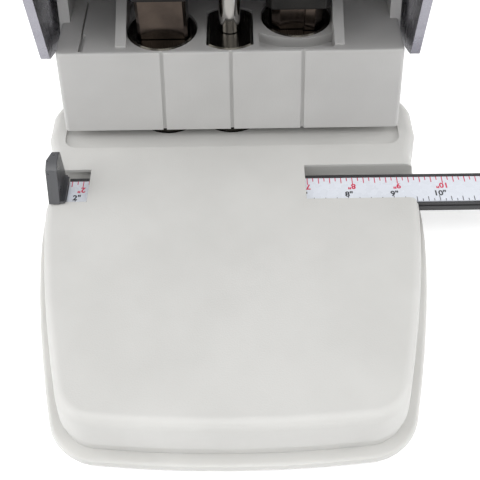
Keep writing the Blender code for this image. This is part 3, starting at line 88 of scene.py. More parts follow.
# Floor, light and surroundings
# A pale studio floor under five soft lamps. The camera and mirrors see the surroundings as plain white,
# while the light that they give is much weaker, so that the floor keeps the punch's soft shadow.
view_settings = bpy.context.scene.view_settings
view_settings.view_transform = "Standard"


def seen_directly(tree):
    """A factor of 1 for rays from the camera, from mirrors and through glass, and 0 for light on a surface.

    The three kinds of ray are added up, and the sum is held at 1.
    """
    ray = tree.nodes.new("ShaderNodeLightPath")
    camera_or_mirror = tree.nodes.new("ShaderNodeMath")
    or_glass = tree.nodes.new("ShaderNodeMath")
    or_glass.use_clamp = True
    tree.links.new(ray.outputs["Is Camera Ray"], camera_or_mirror.inputs[0])
    tree.links.new(ray.outputs["Is Glossy Ray"], camera_or_mirror.inputs[1])
    tree.links.new(camera_or_mirror.outputs[0], or_glass.inputs[0])
    tree.links.new(ray.outputs["Is Transmission Ray"], or_glass.inputs[1])
    return or_glass.outputs[0]


studio = bpy.data.worlds.new("studio")
bpy.context.scene.world = studio
studio.use_nodes = True
air = studio.node_tree
dim_light = air.nodes["Background"]
dim_light.inputs["Color"].default_value = (0.97, 0.98, 1.0, 1)
dim_light.inputs["Strength"].default_value = 0.3
white_backdrop = air.nodes.new("ShaderNodeBackground")
white_backdrop.inputs["Color"].default_value = (1, 1, 1, 1)
white_backdrop.inputs["Strength"].default_value = 1.0
light_or_backdrop = air.nodes.new("ShaderNodeMixShader")
air.links.new(seen_directly(air), light_or_backdrop.inputs[0])
air.links.new(dim_light.outputs[0], light_or_backdrop.inputs[1])
air.links.new(white_backdrop.outputs[0], light_or_backdrop.inputs[2])
air.links.new(light_or_backdrop.outputs[0], air.nodes["World Output"].inputs["Surface"])

floor_half = 2
floor_corners = [(x * floor_half, y * floor_half, 0) for x, y in ((-1, -1), (1, -1), (1, 1), (-1, 1))]
floor_mesh = bpy.data.meshes.new("floor")
floor_mesh.from_pydata(floor_corners, [], [(0, 1, 2, 3)])
floor = bpy.data.objects.new("floor", floor_mesh)
bpy.context.scene.collection.objects.link(floor)
floor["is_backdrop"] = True

# The floor's paint is matt. As seen directly it is lifted towards white, and far from the punch the more so.
near, far = 0.25, 0.9
near_lift, far_lift = 0.42, 1.0
floor_paint = bpy.data.materials.new("floor_paint")
floor_paint.use_nodes = True
paint = floor_paint.node_tree
paint.nodes.remove(paint.nodes["Principled BSDF"])
matt = paint.nodes.new("ShaderNodeBsdfDiffuse")
matt.inputs["Color"].default_value = (0.9, 0.9, 0.9, 1)
lift = paint.nodes.new("ShaderNodeEmission")
lift.inputs["Color"].default_value = (1, 1, 1, 1)
place_on_floor = paint.nodes.new("ShaderNodeTexCoord")
from_middle = paint.nodes.new("ShaderNodeVectorMath")
from_middle.operation = "LENGTH"
paint.links.new(place_on_floor.outputs["Object"], from_middle.inputs[0])
lift_there = paint.nodes.new("ShaderNodeMapRange")
lift_there.inputs["From Min"].default_value = near
lift_there.inputs["From Max"].default_value = far
lift_there.inputs["To Min"].default_value = near_lift
lift_there.inputs["To Max"].default_value = far_lift
paint.links.new(from_middle.outputs["Value"], lift_there.inputs["Value"])
lift_seen = paint.nodes.new("ShaderNodeMath")
lift_seen.operation = "MULTIPLY"
paint.links.new(seen_directly(paint), lift_seen.inputs[0])
paint.links.new(lift_there.outputs["Result"], lift_seen.inputs[1])
paint.links.new(lift_seen.outputs[0], lift.inputs["Strength"])
matt_and_lift = paint.nodes.new("ShaderNodeAddShader")
paint.links.new(matt.outputs[0], matt_and_lift.inputs[0])
paint.links.new(lift.outputs[0], matt_and_lift.inputs[1])
paint.links.new(matt_and_lift.outputs[0], paint.nodes["Material Output"].inputs["Surface"])
floor_mesh.materials.append(floor_paint)


def soft_lamp(name, place, target, size, power):
    """A square area lamp at a place, turned to shine at a target."""
    lamp = bpy.data.objects.new(name, bpy.data.lights.new(name, "AREA"))
    lamp.data.size = size
    lamp.data.energy = power
    lamp.location = place
    lamp.rotation_euler = (Vector(target) - Vector(place)).to_track_quat("-Z", "Y").to_euler()
    bpy.context.scene.collection.objects.link(lamp)


soft_lamp("lamp_above", place=(-0.10, -0.10, 0.75), target=(0, 0, 0), size=0.50, power=1.25)
soft_lamp("lamp_front", place=(0.05, -0.42, 0.64), target=(0, 0, 0.03), size=0.45, power=1.5)
soft_lamp("lamp_low", place=(0.0, -0.62, 0.09), target=(0, -0.09, 0.01), size=0.30, power=0.42)
soft_lamp("lamp_left", place=(-0.70, -0.12, 0.34), target=(0, -0.02, 0.03), size=0.80, power=4.6)
soft_lamp("lamp_right", place=(0.70, -0.12, 0.34), target=(0, -0.02, 0.03), size=0.80, power=3.9)


def shader_of(finish):
    """The Principled shader of a material."""
    return finish.node_tree.nodes["Principled BSDF"]


def plain_finish(name, roughness):
    """A material of one roughness, ready for a pattern on the piece's own coordinates."""
    finish = bpy.data.materials.new(name)
    finish.use_nodes = True
    shader_of(finish).inputs["Roughness"].default_value = roughness
    return finish


def cloud(tree, scale, detail=3.0, stretch=None):
    """A noise with so many blotches a metre, drawn out where stretch is below 1 along an axis."""
    place = tree.nodes.new("ShaderNodeTexCoord")
    noise = tree.nodes.new("ShaderNodeTexNoise")
    noise.inputs["Scale"].default_value = scale
    noise.inputs["Detail"].default_value = detail
    if stretch:
        mapping = tree.nodes.new("ShaderNodeMapping")
        mapping.inputs["Scale"].default_value = stretch
        tree.links.new(place.outputs["Object"], mapping.inputs["Vector"])
        tree.links.new(mapping.outputs["Vector"], noise.inputs["Vector"])
    else:
        tree.links.new(place.outputs["Object"], noise.inputs["Vector"])
    return noise.outputs["Fac"]


def vary_colour(finish, noise, first, second):
    """The colour goes from the first to the second as a noise goes from 0.35 to 0.65."""
    tree = finish.node_tree
    ramp = tree.nodes.new("ShaderNodeValToRGB")
    ramp.color_ramp.elements[0].position = 0.35
    ramp.color_ramp.elements[1].position = 0.65
    ramp.color_ramp.elements[0].color = (*first, 1)
    ramp.color_ramp.elements[1].color = (*second, 1)
    tree.links.new(noise, ramp.inputs["Fac"])
    tree.links.new(ramp.outputs["Color"], shader_of(finish).inputs["Base Color"])


def vary_roughness(finish, noise, smooth, rough):
    """The roughness goes from smooth to rough as a noise goes from 0.3 to 0.7."""
    tree = finish.node_tree
    span = tree.nodes.new("ShaderNodeMapRange")
    span.inputs["From Min"].default_value = 0.3
    span.inputs["From Max"].default_value = 0.7
    span.inputs["To Min"].default_value = smooth
    span.inputs["To Max"].default_value = rough
    tree.links.new(noise, span.inputs["Value"])
    tree.links.new(span.outputs["Result"], shader_of(finish).inputs["Roughness"])


def raise_grain(finish, noise, depth):
    """Lifts the surface by a noise whose full height is depth, in metres."""
    tree = finish.node_tree
    bump = tree.nodes.new("ShaderNodeBump")
    bump.inputs["Distance"].default_value = depth
    bump.inputs["Strength"].default_value = 1.0
    tree.links.new(noise, bump.inputs["Height"])
    tree.links.new(bump.outputs["Normal"], shader_of(finish).inputs["Normal"])


def moulded(name, first, second, smooth, rough, grain=2600, depth=0.00004):
    """Moulded plastic: two close colours in soft patches, a spark-eroded grain, and polish that varies."""
    patches = 45
    finish = plain_finish(name, rough)
    tree = finish.node_tree
    vary_colour(finish, cloud(tree, patches), first, second)
    vary_roughness(finish, cloud(tree, patches * 9), smooth, rough)
    raise_grain(finish, cloud(tree, grain, detail=2), depth)
    return finish


smooth_shading = bpy.data.node_groups.new("smooth_shading", "GeometryNodeTree")
smooth_shading.interface.new_socket("Geometry", in_out="INPUT", socket_type="NodeSocketGeometry")
smooth_shading.interface.new_socket("Geometry", in_out="OUTPUT", socket_type="NodeSocketGeometry")
way_in = smooth_shading.nodes.new("NodeGroupInput")
set_smooth = smooth_shading.nodes.new("GeometryNodeSetShadeSmooth")
way_out = smooth_shading.nodes.new("NodeGroupOutput")
smooth_shading.links.new(way_in.outputs[0], set_smooth.inputs[0])
smooth_shading.links.new(set_smooth.outputs[0], way_out.inputs[0])


def dress(node, finish, edge, rounds=2):
    """Gives a CAD node its finish, and breaks its hard edges by a small radius with modifiers alone."""
    piece = cad_nodes[node]
    for slot in piece.material_slots:
        slot.material = finish
    merge = piece.modifiers.new("merge", "WELD")
    merge.merge_threshold = 0.000002
    flats = piece.modifiers.new("flats", "DECIMATE")
    flats.decimate_type = "DISSOLVE"
    flats.angle_limit = math.radians(0.3)
    edges = piece.modifiers.new("edges", "BEVEL")
    edges.width = edge
    edges.segments = rounds
    edges.limit_method = "ANGLE"
    edges.angle_limit = math.radians(32)
    edges.miter_outer = "MITER_ARC"
    shade = piece.modifiers.new("shade", "NODES")
    shade.node_group = smooth_shading
    weigh = piece.modifiers.new("weigh", "WEIGHTED_NORMAL")
    weigh.keep_sharp = True


nitrile_rubber = moulded(
    "nitrile_rubber", (0.045, 0.046, 0.05), (0.06, 0.06, 0.064),
    smooth=0.62, rough=0.8, grain=1500, depth=0.00008,
)
dress("non_slip_mat", nitrile_rubber, edge=0.00025)

# Chip tray
# The rim and bottom of the base, moulded in milky polypropylene. It hooks up under the deck at its rear,
# where a steel pin runs through its two knuckles, and swings down to be emptied.
milky_plastic = moulded(
    "milky_polypropylene", (0.565, 0.56, 0.54), (0.61, 0.605, 0.585),
    smooth=0.3, rough=0.42, grain=1900, depth=0.00002,
)
shader_of(milky_plastic).inputs["Subsurface Weight"].default_value = 0.25
shader_of(milky_plastic).inputs["Subsurface Radius"].default_value = (1, 0.95, 0.85)
shader_of(milky_plastic).inputs["Subsurface Scale"].default_value = 0.0025
dress("chip_tray", milky_plastic, edge=0.0003)


def ground_steel(name, first, second, smooth, rough, stretch, lines=6000, depth=0.000004):
    """Steel ground or drawn in one direction: fine lines run along the axis with the smallest stretch."""
    stains = 160
    finish = plain_finish(name, rough)
    shader_of(finish).inputs["Metallic"].default_value = 1.0
    tree = finish.node_tree
    grooves = cloud(tree, lines, detail=4, stretch=stretch)
    vary_colour(finish, cloud(tree, stains), first, second)
    vary_roughness(finish, grooves, smooth, rough)
    raise_grain(finish, grooves, depth)
    return finish


drawn_steel = ground_steel(
    "drawn_steel", (0.62, 0.61, 0.6), (0.5, 0.495, 0.49),
    smooth=0.18, rough=0.34, stretch=(0.02, 1, 1),
)
dress("tray_hinge_pin", drawn_steel, edge=0.0002)

# Deck
# The shell that the card lies on, moulded in pale grey ABS with a fine grain and a rounded top edge.
# It is hollow below, and the guide's channel runs across it, bridged in the middle.
deck_abs = moulded("housing_abs", (0.565, 0.56, 0.54), (0.60, 0.595, 0.575), smooth=0.36, rough=0.5)
dress("deck_shell", deck_abs, edge=0.0002)

# Dies and card stop
# Three hardened discs in the deck, held by the plate under it, and a thin bent sheet behind their holes
# that the card is pushed against.
hardened_steel = ground_steel(
    "hardened_steel", (0.075, 0.07, 0.06), (0.045, 0.042, 0.036),
    smooth=0.12, rough=0.3, stretch=(1, 0.03, 1), lines=5000,
)
rolled_plate = ground_steel(
    "rolled_plate", (0.6, 0.59, 0.575), (0.5, 0.495, 0.485),
    smooth=0.24, rough=0.42, stretch=(0.02, 1, 1),
)
for die in ("slot_die", "round_die", "corner_die"):
    dress(die, hardened_steel, edge=0.00015)
dress("die_plate", rolled_plate, edge=0.0001)
dress("card_stop", rolled_plate, edge=0.0001)

# Guide
# A black anodised rail that slides across the deck in its channel, with a printed strip let into its top.
# A leaf spring rubs on its rear, a hard nylon stop is screwed to its left end and a cap closes its right one.
black_anodising = moulded(
    "black_anodising", (0.016, 0.016, 0.018), (0.024, 0.024, 0.026),
    smooth=0.28, rough=0.4, grain=3200, depth=0.00001,
)
dress("guide_rail", black_anodising, edge=0.0001)
dress("guide_end_cap", black_anodising, edge=0.0002)
white_strip = moulded(
    "printed_strip", (0.70, 0.73, 0.79), (0.73, 0.76, 0.82),
    smooth=0.22, rough=0.34, grain=900, depth=0.000004,
)
dress("guide_scale", white_strip, edge=0.00005)
dress("guide_leaf_spring", rolled_plate, edge=0.00005)
stop_nylon = moulded(
    "stop_nylon", (0.03, 0.031, 0.035), (0.04, 0.042, 0.047),
    smooth=0.26, rough=0.38, grain=2200, depth=0.00002,
)
shader_of(stop_nylon).inputs["Specular IOR Level"].default_value = 0.9
dress("guide_stop", stop_nylon, edge=0.0005, rounds=3)

# Rule
# Screen printing on the strip: red marks along its rear edge and black ones along its front edge.
# Its inches are half size, and the red numbers are upside down, to be read from the other side.
scale_low, scale_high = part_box("guide_scale")
number_pitch, marks_a_number = 0.01268, 8
red_zero, black_zero = -0.0675, -0.0691
left_margin, last_mark_x = 0.0006, 0.0846
ink_below, ink_above = 0.00003, 0.00002
print_low, print_high = scale_high[2] - ink_below, scale_high[2] + ink_above


def ink(name, first, second):
    """Screen-printed ink: a matt colour that is a little uneven."""
    finish = plain_finish(name, 0.5)
    tree = finish.node_tree
    vary_colour(finish, cloud(tree, 2500), first, second)
    vary_roughness(finish, cloud(tree, 900), smooth=0.4, rough=0.6)
    raise_grain(finish, cloud(tree, 5000, detail=2), depth=0.000003)
    return finish


red_ink = ink("red_ink", (0.62, 0.012, 0.075), (0.55, 0.01, 0.06))
black_ink = ink("black_ink", (0.012, 0.013, 0.02), (0.022, 0.023, 0.03))


def set_down(name, mesh, finish, body, smooth=True, nodes_replaced=(), bends=None):
    """Makes a finished piece of a mesh: faces outwards, its finish, its body, and the nodes it stands for.

    A piece given bends is left where it stands, in no body; the other body and the places where the bend
    starts and ends, which bends holds, are not used.
    """
    form = bmesh.new()
    form.from_mesh(mesh)
    bmesh.ops.remove_doubles(form, verts=form.verts, dist=0.0000002)
    bmesh.ops.recalc_face_normals(form, faces=form.faces)
    form.to_mesh(mesh)
    form.free()
    mesh.materials.clear()
    mesh.materials.append(finish)
    if smooth:
        mesh.shade_smooth()
        mesh.set_sharp_from_angle(angle=math.radians(40))
    piece = bpy.data.objects.new(name, mesh)
    bpy.context.scene.collection.objects.link(piece)
    if nodes_replaced:
        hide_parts(*nodes_replaced)
    if bends:
        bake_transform(piece)
    else:
        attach(piece, body)


def graduations(name, zero, edge, lengths, width, finish):
    """Graduations: at each eighth of a number, a thin flat box from the strip's edge inwards.

    Eighth n stands at zero + n * pitch / 8. Its length is the first where n divides by 8, the second where n
    is even and the third where it is odd. All the boxes are worked out as one array of 8 corners each.
    """
    first = math.ceil((scale_low[0] - zero + left_margin) / number_pitch * marks_a_number)
    last = math.floor((last_mark_x - zero) / number_pitch * marks_a_number)
    eighth = np.arange(first, last + 1)
    short_or_middle = np.where(eighth % 2 == 0, lengths[1], lengths[2])
    length = np.where(eighth % marks_a_number == 0, lengths[0], short_or_middle)
    x = zero + eighth * number_pitch / marks_a_number
    corners = np.array([(i, j, k) for k in (0, 1) for j in (0, 1) for i in (-1, 1)], float)
    points = np.empty((len(x), 8, 3))
    points[:, :, 0] = x[:, None] + corners[:, 0] * width / 2
    points[:, :, 1] = edge + corners[:, 1] * length[:, None]
    points[:, :, 2] = print_low + corners[:, 2] * (print_high - print_low)
    box_sides = np.array([(0, 2, 3, 1), (4, 5, 7, 6), (0, 1, 5, 4), (2, 6, 7, 3), (0, 4, 6, 2), (1, 3, 7, 5)])
    faces = (box_sides[None] + 8 * np.arange(len(x))[:, None, None]).reshape(-1, 4)
    mesh = bpy.data.meshes.new(name)
    mesh.from_pydata(points.reshape(-1, 3).tolist(), [], faces.tolist())
    set_down(name, mesh, finish, "guide", smooth=False)


def numbers(name, zero, middle_y, half_turn, finish):
    """The numbers 2 to 11 with an inch mark, as one flat mesh.

    Each is centred on its digits, at zero + value * pitch, and the inch mark stands to their right.
    """
    digit_height, capital_share, mark_share, stroke_gain = 0.0019, 0.72, 0.15, 0.00007
    form = bmesh.new()
    for value in range(2, 12):
        drawn = bpy.data.curves.new("number", "FONT")
        drawn.body = str(value) + '"'
        drawn.size = digit_height / capital_share
        drawn.align_x = "CENTER"
        drawn.offset = stroke_gain
        drawn.extrude = (print_high - print_low) / 2
        drawn.resolution_u = 3
        holder = bpy.data.objects.new("number", drawn)
        bpy.context.scene.collection.objects.link(holder)
        ready = bpy.context.evaluated_depsgraph_get()
        mesh = bpy.data.meshes.new_from_object(holder.evaluated_get(ready), depsgraph=ready)
        bpy.data.objects.remove(holder)
        turn = Matrix.Rotation(math.pi if half_turn else 0, 4, "Z")
        place = Matrix.Translation((zero + value * number_pitch, middle_y, (print_high + print_low) / 2))
        centred = Matrix.Translation((digit_height * mark_share, -digit_height / 2, 0))
        mesh.transform(place @ turn @ centred)
        form.from_mesh(mesh)
    joined = bpy.data.meshes.new(name)
    form.to_mesh(joined)
    form.free()
    set_down(name, joined, finish, "guide", smooth=False)


red_middle_y, black_middle_y = scale_high[1] - 0.00345, scale_low[1] + 0.0029
graduations("red_graduations", red_zero, scale_high[1], (-0.0025, -0.0021, -0.0013), 0.00024, red_ink)
graduations("black_graduations", black_zero, scale_low[1], (0.0020, 0.0016, 0.0008), 0.0002, black_ink)
numbers("red_numbers", red_zero, red_middle_y, half_turn=True, finish=red_ink)
numbers("black_numbers", black_zero, black_middle_y, half_turn=False, finish=black_ink)

# Screws
# Pan-head machine screws of bright zinc-plated steel with a cross recess and a rolled thread.
# They hold the frames down, the rear cover, the grip, the presser's rail and the guide's stop.
zinc_plate = ground_steel(
    "zinc_plate", (0.64, 0.64, 0.63), (0.56, 0.56, 0.57),
    smooth=0.2, rough=0.36, stretch=(1, 1, 1), lines=1500,
)


def turned_surface(profile, sides):
    """Points of a surface of revolution about Z: each (radius, height) pair is turned through even steps."""
    angle = np.linspace(0, math.tau, sides, endpoint=False)
    radius, height = np.array(profile, float).T
    grid = np.empty((len(radius), sides, 3))
    grid[..., 0] = radius[:, None] * np.cos(angle)
    grid[..., 1] = radius[:, None] * np.sin(angle)
    grid[..., 2] = height[:, None]
    return grid


def carried(grid, matrix):
    """A grid of points, moved from the origin to the place and turn of a matrix."""
    matrix = np.array(matrix)
    return grid @ matrix[:3, :3].T + matrix[:3, 3]


def woven(grid):
    """A mesh over a grid of points whose columns close on themselves."""
    rows, columns = grid.shape[:2]
    number = np.arange(rows * columns).reshape(rows, columns)
    number = np.hstack([number, number[:, :1]])
    quads = np.stack([number[:-1, :-1], number[:-1, 1:], number[1:, 1:], number[1:, :-1]], axis=-1)
    mesh = bpy.data.meshes.new("woven")
    mesh.from_pydata(grid.reshape(-1, 3).tolist(), [], quads.reshape(-1, 4).tolist())
    return mesh


def machine_screw(name, place, turn, head_radius, head_height, shank_radius, length, body):
    """A screw whose head's underside is at its place.

    The head's top is a low dome, height = full - (full / 4) * (r / R) squared. A cross is sunk into it where
    the smaller of |x| and |y| is under a sixth of R and the larger under 0.6 of R. The thread's radius is
    a cosine of the angle less the height in turns.
    """
    sides, dome_rows = 48, 26
    cross_depth, arm_half_width, arm_wall, arm_reach, arm_end = 0.55, 0.17, 0.05, 0.62, 0.1
    out = np.linspace(0, 1, dome_rows)
    dome = np.stack([out * head_radius, head_height * (1 - out**2 / 4)], axis=1)
    rim = np.array([(head_radius, head_height / 4), (head_radius, 0), (shank_radius, 0)])
    thread_pitch = shank_radius / 2.4
    depths = np.arange(0, length - shank_radius / 2, thread_pitch / 6)
    shank = np.stack([np.full(len(depths), shank_radius), -depths], axis=1)
    tip = np.array([(shank_radius * 0.8, -length), (0, -length)])
    grid = turned_surface(np.vstack([dome, rim, shank, tip]), sides)
    x, y = grid[:dome_rows, :, 0] / head_radius, grid[:dome_rows, :, 1] / head_radius
    near_axis, far_axis = np.minimum(abs(x), abs(y)), np.maximum(abs(x), abs(y))
    cross = np.clip((arm_half_width - near_axis) / arm_wall, 0, 1)
    cross = cross * np.clip((arm_reach - far_axis) / arm_end, 0, 1)
    grid[:dome_rows, :, 2] -= cross * head_height * cross_depth
    thread_start = len(dome) + len(rim)
    thread = slice(thread_start, thread_start + len(depths))
    angle = np.linspace(0, math.tau, sides, endpoint=False)
    wave = np.cos(angle[None] + math.tau * depths[:, None] / thread_pitch)
    grid[thread, :, :2] *= (1 - 0.05 * (1 + wave))[..., None]
    grid = carried(grid, Matrix.Translation(place) @ turn.to_4x4())
    set_down(name + "_dressed", woven(grid), zinc_plate, body, nodes_replaced=[name])


def middle_of(node):
    """The middle of a CAD node's box."""
    low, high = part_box(node)
    return [(a + b) / 2 for a, b in zip(low, high)]


# The name of each screw, the axis that its head looks along, and its body
fastened = [(f"frame_screw_{n}", "+Z", "base") for n in (1, 2, 3, 4)]
fastened += [("rear_screw_left", "+Y", "base"), ("rear_screw_right", "+Y", "base")]
fastened += [("grip_screw_left", "-Z", "handle"), ("grip_screw_right", "-Z", "handle")]
fastened += [("rail_screw_left", "-X", "handle"), ("rail_screw_right", "+X", "handle")]
fastened += [("stop_screw", "-X", "guide")]
pan_height, pan_shank_share = 0.0018, 0.0014 / 0.0029
stop_height, stop_shank_share = 0.0008, 0.0005 / 0.0011
turns = {
    "+Z": Matrix.Identity(3),
    "-Z": Matrix.Rotation(math.pi, 3, "X"),
    "+Y": Matrix.Rotation(-math.pi / 2, 3, "X"),
    "+X": Matrix.Rotation(math.pi / 2, 3, "Y"),
    "-X": Matrix.Rotation(-math.pi / 2, 3, "Y"),
}
for name, looks, body in fastened:
    low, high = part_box(name)
    axis = "XYZ".index(looks[1])
    sign = 1 if looks[0] == "+" else -1
    across = (axis + 1) % 3
    head_radius = (high[across] - low[across]) / 2
    head_height = stop_height if name == "stop_screw" else pan_height
    shank_share = stop_shank_share if name == "stop_screw" else pan_shank_share
    head_top = high[axis] if sign > 0 else low[axis]
    place = middle_of(name)
    place[axis] = head_top - sign * head_height
    length = high[axis] - low[axis] - head_height
    shank_radius = head_radius * shank_share
    machine_screw(name, place, turns[looks], head_radius, head_height, shank_radius, length, body)

# Frames
# Two folded side plates of rolled steel inside the head. They carry the handle's axle down to the deck,
# where the four long screws clamp them, the deck and the die plate together.
dress("frame_left", rolled_plate, edge=0.0002)
dress("frame_right", rolled_plate, edge=0.0002)

# Head
# One ABS moulding, its grey painted a little darker than the deck's as shade on the head, with three grooves
# down its front wall and ribs and cheeks on its top that lead back to the handle's axle. A steel plate inside
# strips the card off the punches.
# Painted shade: the head's colour is the deck's grey made darker, standing in for the light that reaches it
# less.
head_abs_darkened_for_shade = moulded("head_abs_darkened_for_shade", (0.48, 0.475, 0.465), (0.515, 0.51, 0.50), smooth=0.36, rough=0.5)
dress("head_housing", head_abs_darkened_for_shade, edge=0.0006, rounds=3)
dress("stripper_plate", rolled_plate, edge=0.0001)

# Barrels
# Three turned sleeves of hardened steel, pressed into the head.
# Each guides its punch and holds its return spring.
for barrel in ("slot_barrel", "round_barrel", "corner_barrel"):
    dress(barrel, hardened_steel, edge=0.0002)

# Return springs
# Music wire wound into five open curls round each punch, between a step in the barrel and the punch.
# The foot of each stands in its barrel and the top meets the punch; in the real punch the coil closes between
# them, but here each coil is left where it stands, in no body.
spring_wire = ground_steel(
    "spring_wire", (0.5, 0.49, 0.48), (0.42, 0.415, 0.41),
    smooth=0.16, rough=0.3, stretch=(1, 1, 1), lines=3000,
)


def wire_along(points, radius, reference, sides=12):
    """A round wire with rounded ends: at each point of the path, a circle across the path's direction."""
    run = np.gradient(points, axis=0)
    run /= np.linalg.norm(run, axis=1)[:, None]
    first = reference - run * (run @ reference)[:, None]
    first /= np.linalg.norm(first, axis=1)[:, None]
    second = np.cross(run, first)
    angle = np.linspace(0, math.tau, sides, endpoint=False)
    ring = first[:, None] * np.cos(angle)[None, :, None] + second[:, None] * np.sin(angle)[None, :, None]
    grid = points[:, None] + radius * ring
    rounding = (np.array([0.5, 0.85, 1.0]) * math.pi / 2)[:, None, None]
    ends = []
    for place, step, circle in ((points[0], -run[0], ring[0]), (points[-1], run[-1], ring[-1])):
        ends.append(place + radius * (np.cos(rounding) * circle[None] + np.sin(rounding) * step))
    return woven(np.concatenate([ends[0][::-1], grid, ends[1]]))


def return_spring(station, radius, wire):
    """A coil about Z. Its angle goes round while its height goes evenly from one flat to the other."""
    curls, steps_a_curl = 5, 40
    low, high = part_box(f"{station}_spring")
    x, y, _ = middle_of(f"{station}_spring")
    turn = np.linspace(0, math.tau * curls, curls * steps_a_curl + 1)
    height = low[2] + wire + (high[2] - low[2] - 2 * wire) * turn / turn[-1]
    path = np.stack([x + radius * np.cos(turn), y + radius * np.sin(turn), height], axis=1)
    mesh = wire_along(path, wire, np.array([0.0, 0.0, 1.0]))
    closes = (f"{station}_punch", (x, y, low[2]), (x, y, high[2]))
    set_down(
        f"{station}_return_spring", mesh, spring_wire, "base",
        nodes_replaced=[f"{station}_spring"], bends=closes,
    )


return_spring("slot", radius=0.00785, wire=0.00045)
return_spring("round", radius=0.0040, wire=0.0004)
return_spring("corner", radius=0.00785, wire=0.00045)

# Punches and strike caps
# Ground tool-steel punches that slide in the barrels: two dark ones, and a round one polished bright.
# Each carries a blackened cap that the handle's presser strikes.
punch_steel = ground_steel(
    "ground_punch_steel", (0.12, 0.094, 0.08), (0.075, 0.06, 0.052),
    smooth=0.1, rough=0.26, stretch=(1, 1, 0.02), lines=4500,
)
polished_steel = ground_steel(
    "polished_pin_steel", (0.62, 0.6, 0.585), (0.5, 0.485, 0.47),
    smooth=0.06, rough=0.16, stretch=(1, 1, 0.02), lines=4500,
)
dress("slot_punch", punch_steel, edge=0.0003, rounds=3)
dress("round_punch", polished_steel, edge=0.00015)
dress("corner_punch", punch_steel, edge=0.0002)
blackened_steel = ground_steel(
    "blackened_steel", (0.032, 0.031, 0.03), (0.022, 0.022, 0.022),
    smooth=0.25, rough=0.42, stretch=(1, 1, 0.1), lines=3000,
)
for cap in ("slot_cap", "round_cap", "corner_cap"):
    dress(cap, blackened_steel, edge=0.0004, rounds=3)

# Rear cover
# A flat black ABS door that closes the head's rear, held by two small screws into the ribs.
black_abs = moulded(
    "black_abs", (0.016, 0.016, 0.018), (0.024, 0.024, 0.026),
    smooth=0.4, rough=0.52, grain=2300, depth=0.00003,
)
shader_of(black_abs).inputs["Specular IOR Level"].default_value = 0.32
dress("rear_cover", black_abs, edge=0.0003)

# Axle and handle spring
# A ground steel axle through the head and both frames, kept by a clip in a groove at each end.
# A torsion spring of thicker wire is wound round its middle and lifts the handle.
dress("pivot_axle", drawn_steel, edge=0.00015)
dress("axle_clip_left", spring_wire, edge=0.00015)
dress("axle_clip_right", spring_wire, edge=0.00015)
pivot_y, pivot_z = 0.052, 0.060
coil_radius, coil_wire, coil_pitch, coil_curls = 0.0062, 0.0008, 0.0022, 6
seat_y, seat_z = 0.0295, 0.0484

# The lifting leg ends under the handle's sheet, whose top falls evenly from the grip towards the rear.
handle_top, handle_fall, handle_sheet = 0.084, 0.19, 0.0025
behind_grip, leg_gap = 0.0328, 0.0006
lift_y, lift_z = 0.030, handle_top - handle_fall * behind_grip - handle_sheet - coil_wire - leg_gap


def tangent_angle(y, z, side):
    """Where a straight leg from this place meets the coil's circle at a tangent."""
    distance = math.hypot(y - pivot_y, z - pivot_z)
    return math.atan2(z - pivot_z, y - pivot_y) + side * math.acos(coil_radius / distance)


start = tangent_angle(seat_y, seat_z, 1)
sweep = tangent_angle(lift_y, lift_z, -1) - start + math.tau * coil_curls
half_width = coil_pitch * sweep / math.tau / 2
wound = np.linspace(0, 1, 320)
curl_x = half_width * (2 * wound - 1)
curl_y = pivot_y + coil_radius * np.cos(start + sweep * wound)
curl_z = pivot_z + coil_radius * np.sin(start + sweep * wound)
curl = np.stack([curl_x, curl_y, curl_z], axis=1)
inwards = np.linspace(0, 1, 12)[:-1, None]
lower_leg = np.array([-half_width, seat_y, seat_z]) * (1 - inwards) + curl[0] * inwards
upper_leg = np.array([half_width, lift_y, lift_z]) * (1 - inwards) + curl[-1] * inwards
spring_path = np.concatenate([lower_leg, curl, upper_leg[::-1]])
spring_mesh = wire_along(spring_path, coil_wire, np.array([1.0, 0.0, 0.0]), sides=16)
upper_leg_bend = ("handle", (0, 0.046, 0.0655), (0, 0.0355, 0.076))
set_down(
    "lifting_spring", spring_mesh, spring_wire, "base",
    nodes_replaced=["handle_spring"], bends=upper_leg_bend,
)

# Handle
# One piece of 2.5 mm steel sheet, pressed into a channel with rounded top edges.
# It is plated in dark, glossy nickel and hangs on the axle by its two flanges.
dark_nickel = ground_steel(
    "dark_nickel", (0.33, 0.325, 0.36), (0.305, 0.3, 0.335),
    smooth=0.2, rough=0.32, stretch=(1, 1, 1), lines=420,
)
dress("handle_shell", dark_nickel, edge=0.0005, rounds=3)

# Grip
# A palm pad of black ABS along the handle's top, screwed on from below.
# Its top is crowned and has seven ribs.
grip_place = Matrix.Translation((0, -0.0028, 0.0846)) @ Matrix.Rotation(-math.atan(handle_fall), 4, "X")
grip_half, grip_nose, grip_rear, grip_corner, grip_height = 0.0429, 0.019, 0.036, 0.009, 0.0078
pad_half_depth, edge_width, edge_drop, crown_rise = 0.0275, 0.0042, 0.0036, 0.0008
innermost = 0.02749


def pad_outline(step, quarter=16):
    """A rounded rectangle pushed inwards by a step.

    The corner arcs shrink about their centres, and past their radius the centres move in too.
    """
    radius = max(grip_corner - step, 0.0)
    deeper = max(step - grip_corner, 0.0)
    middle_y, half_y = (grip_rear - grip_nose) / 2, (grip_rear + grip_nose) / 2
    reach_x, reach_y = grip_half - grip_corner - deeper, max(half_y - grip_corner - deeper, 0.0)
    angle = np.linspace(0, math.pi / 2, quarter)
    corners = []
    for side_x, side_y, half_turns in ((1, 1, 0.0), (-1, 1, 0.5), (-1, -1, 1.0), (1, -1, 1.5)):
        turned_by = angle + half_turns * math.pi
        x = side_x * reach_x + radius * np.cos(turned_by)
        y = middle_y + side_y * reach_y + radius * np.sin(turned_by)
        corners.append(np.stack([x, y], axis=1))
    return np.concatenate(corners)


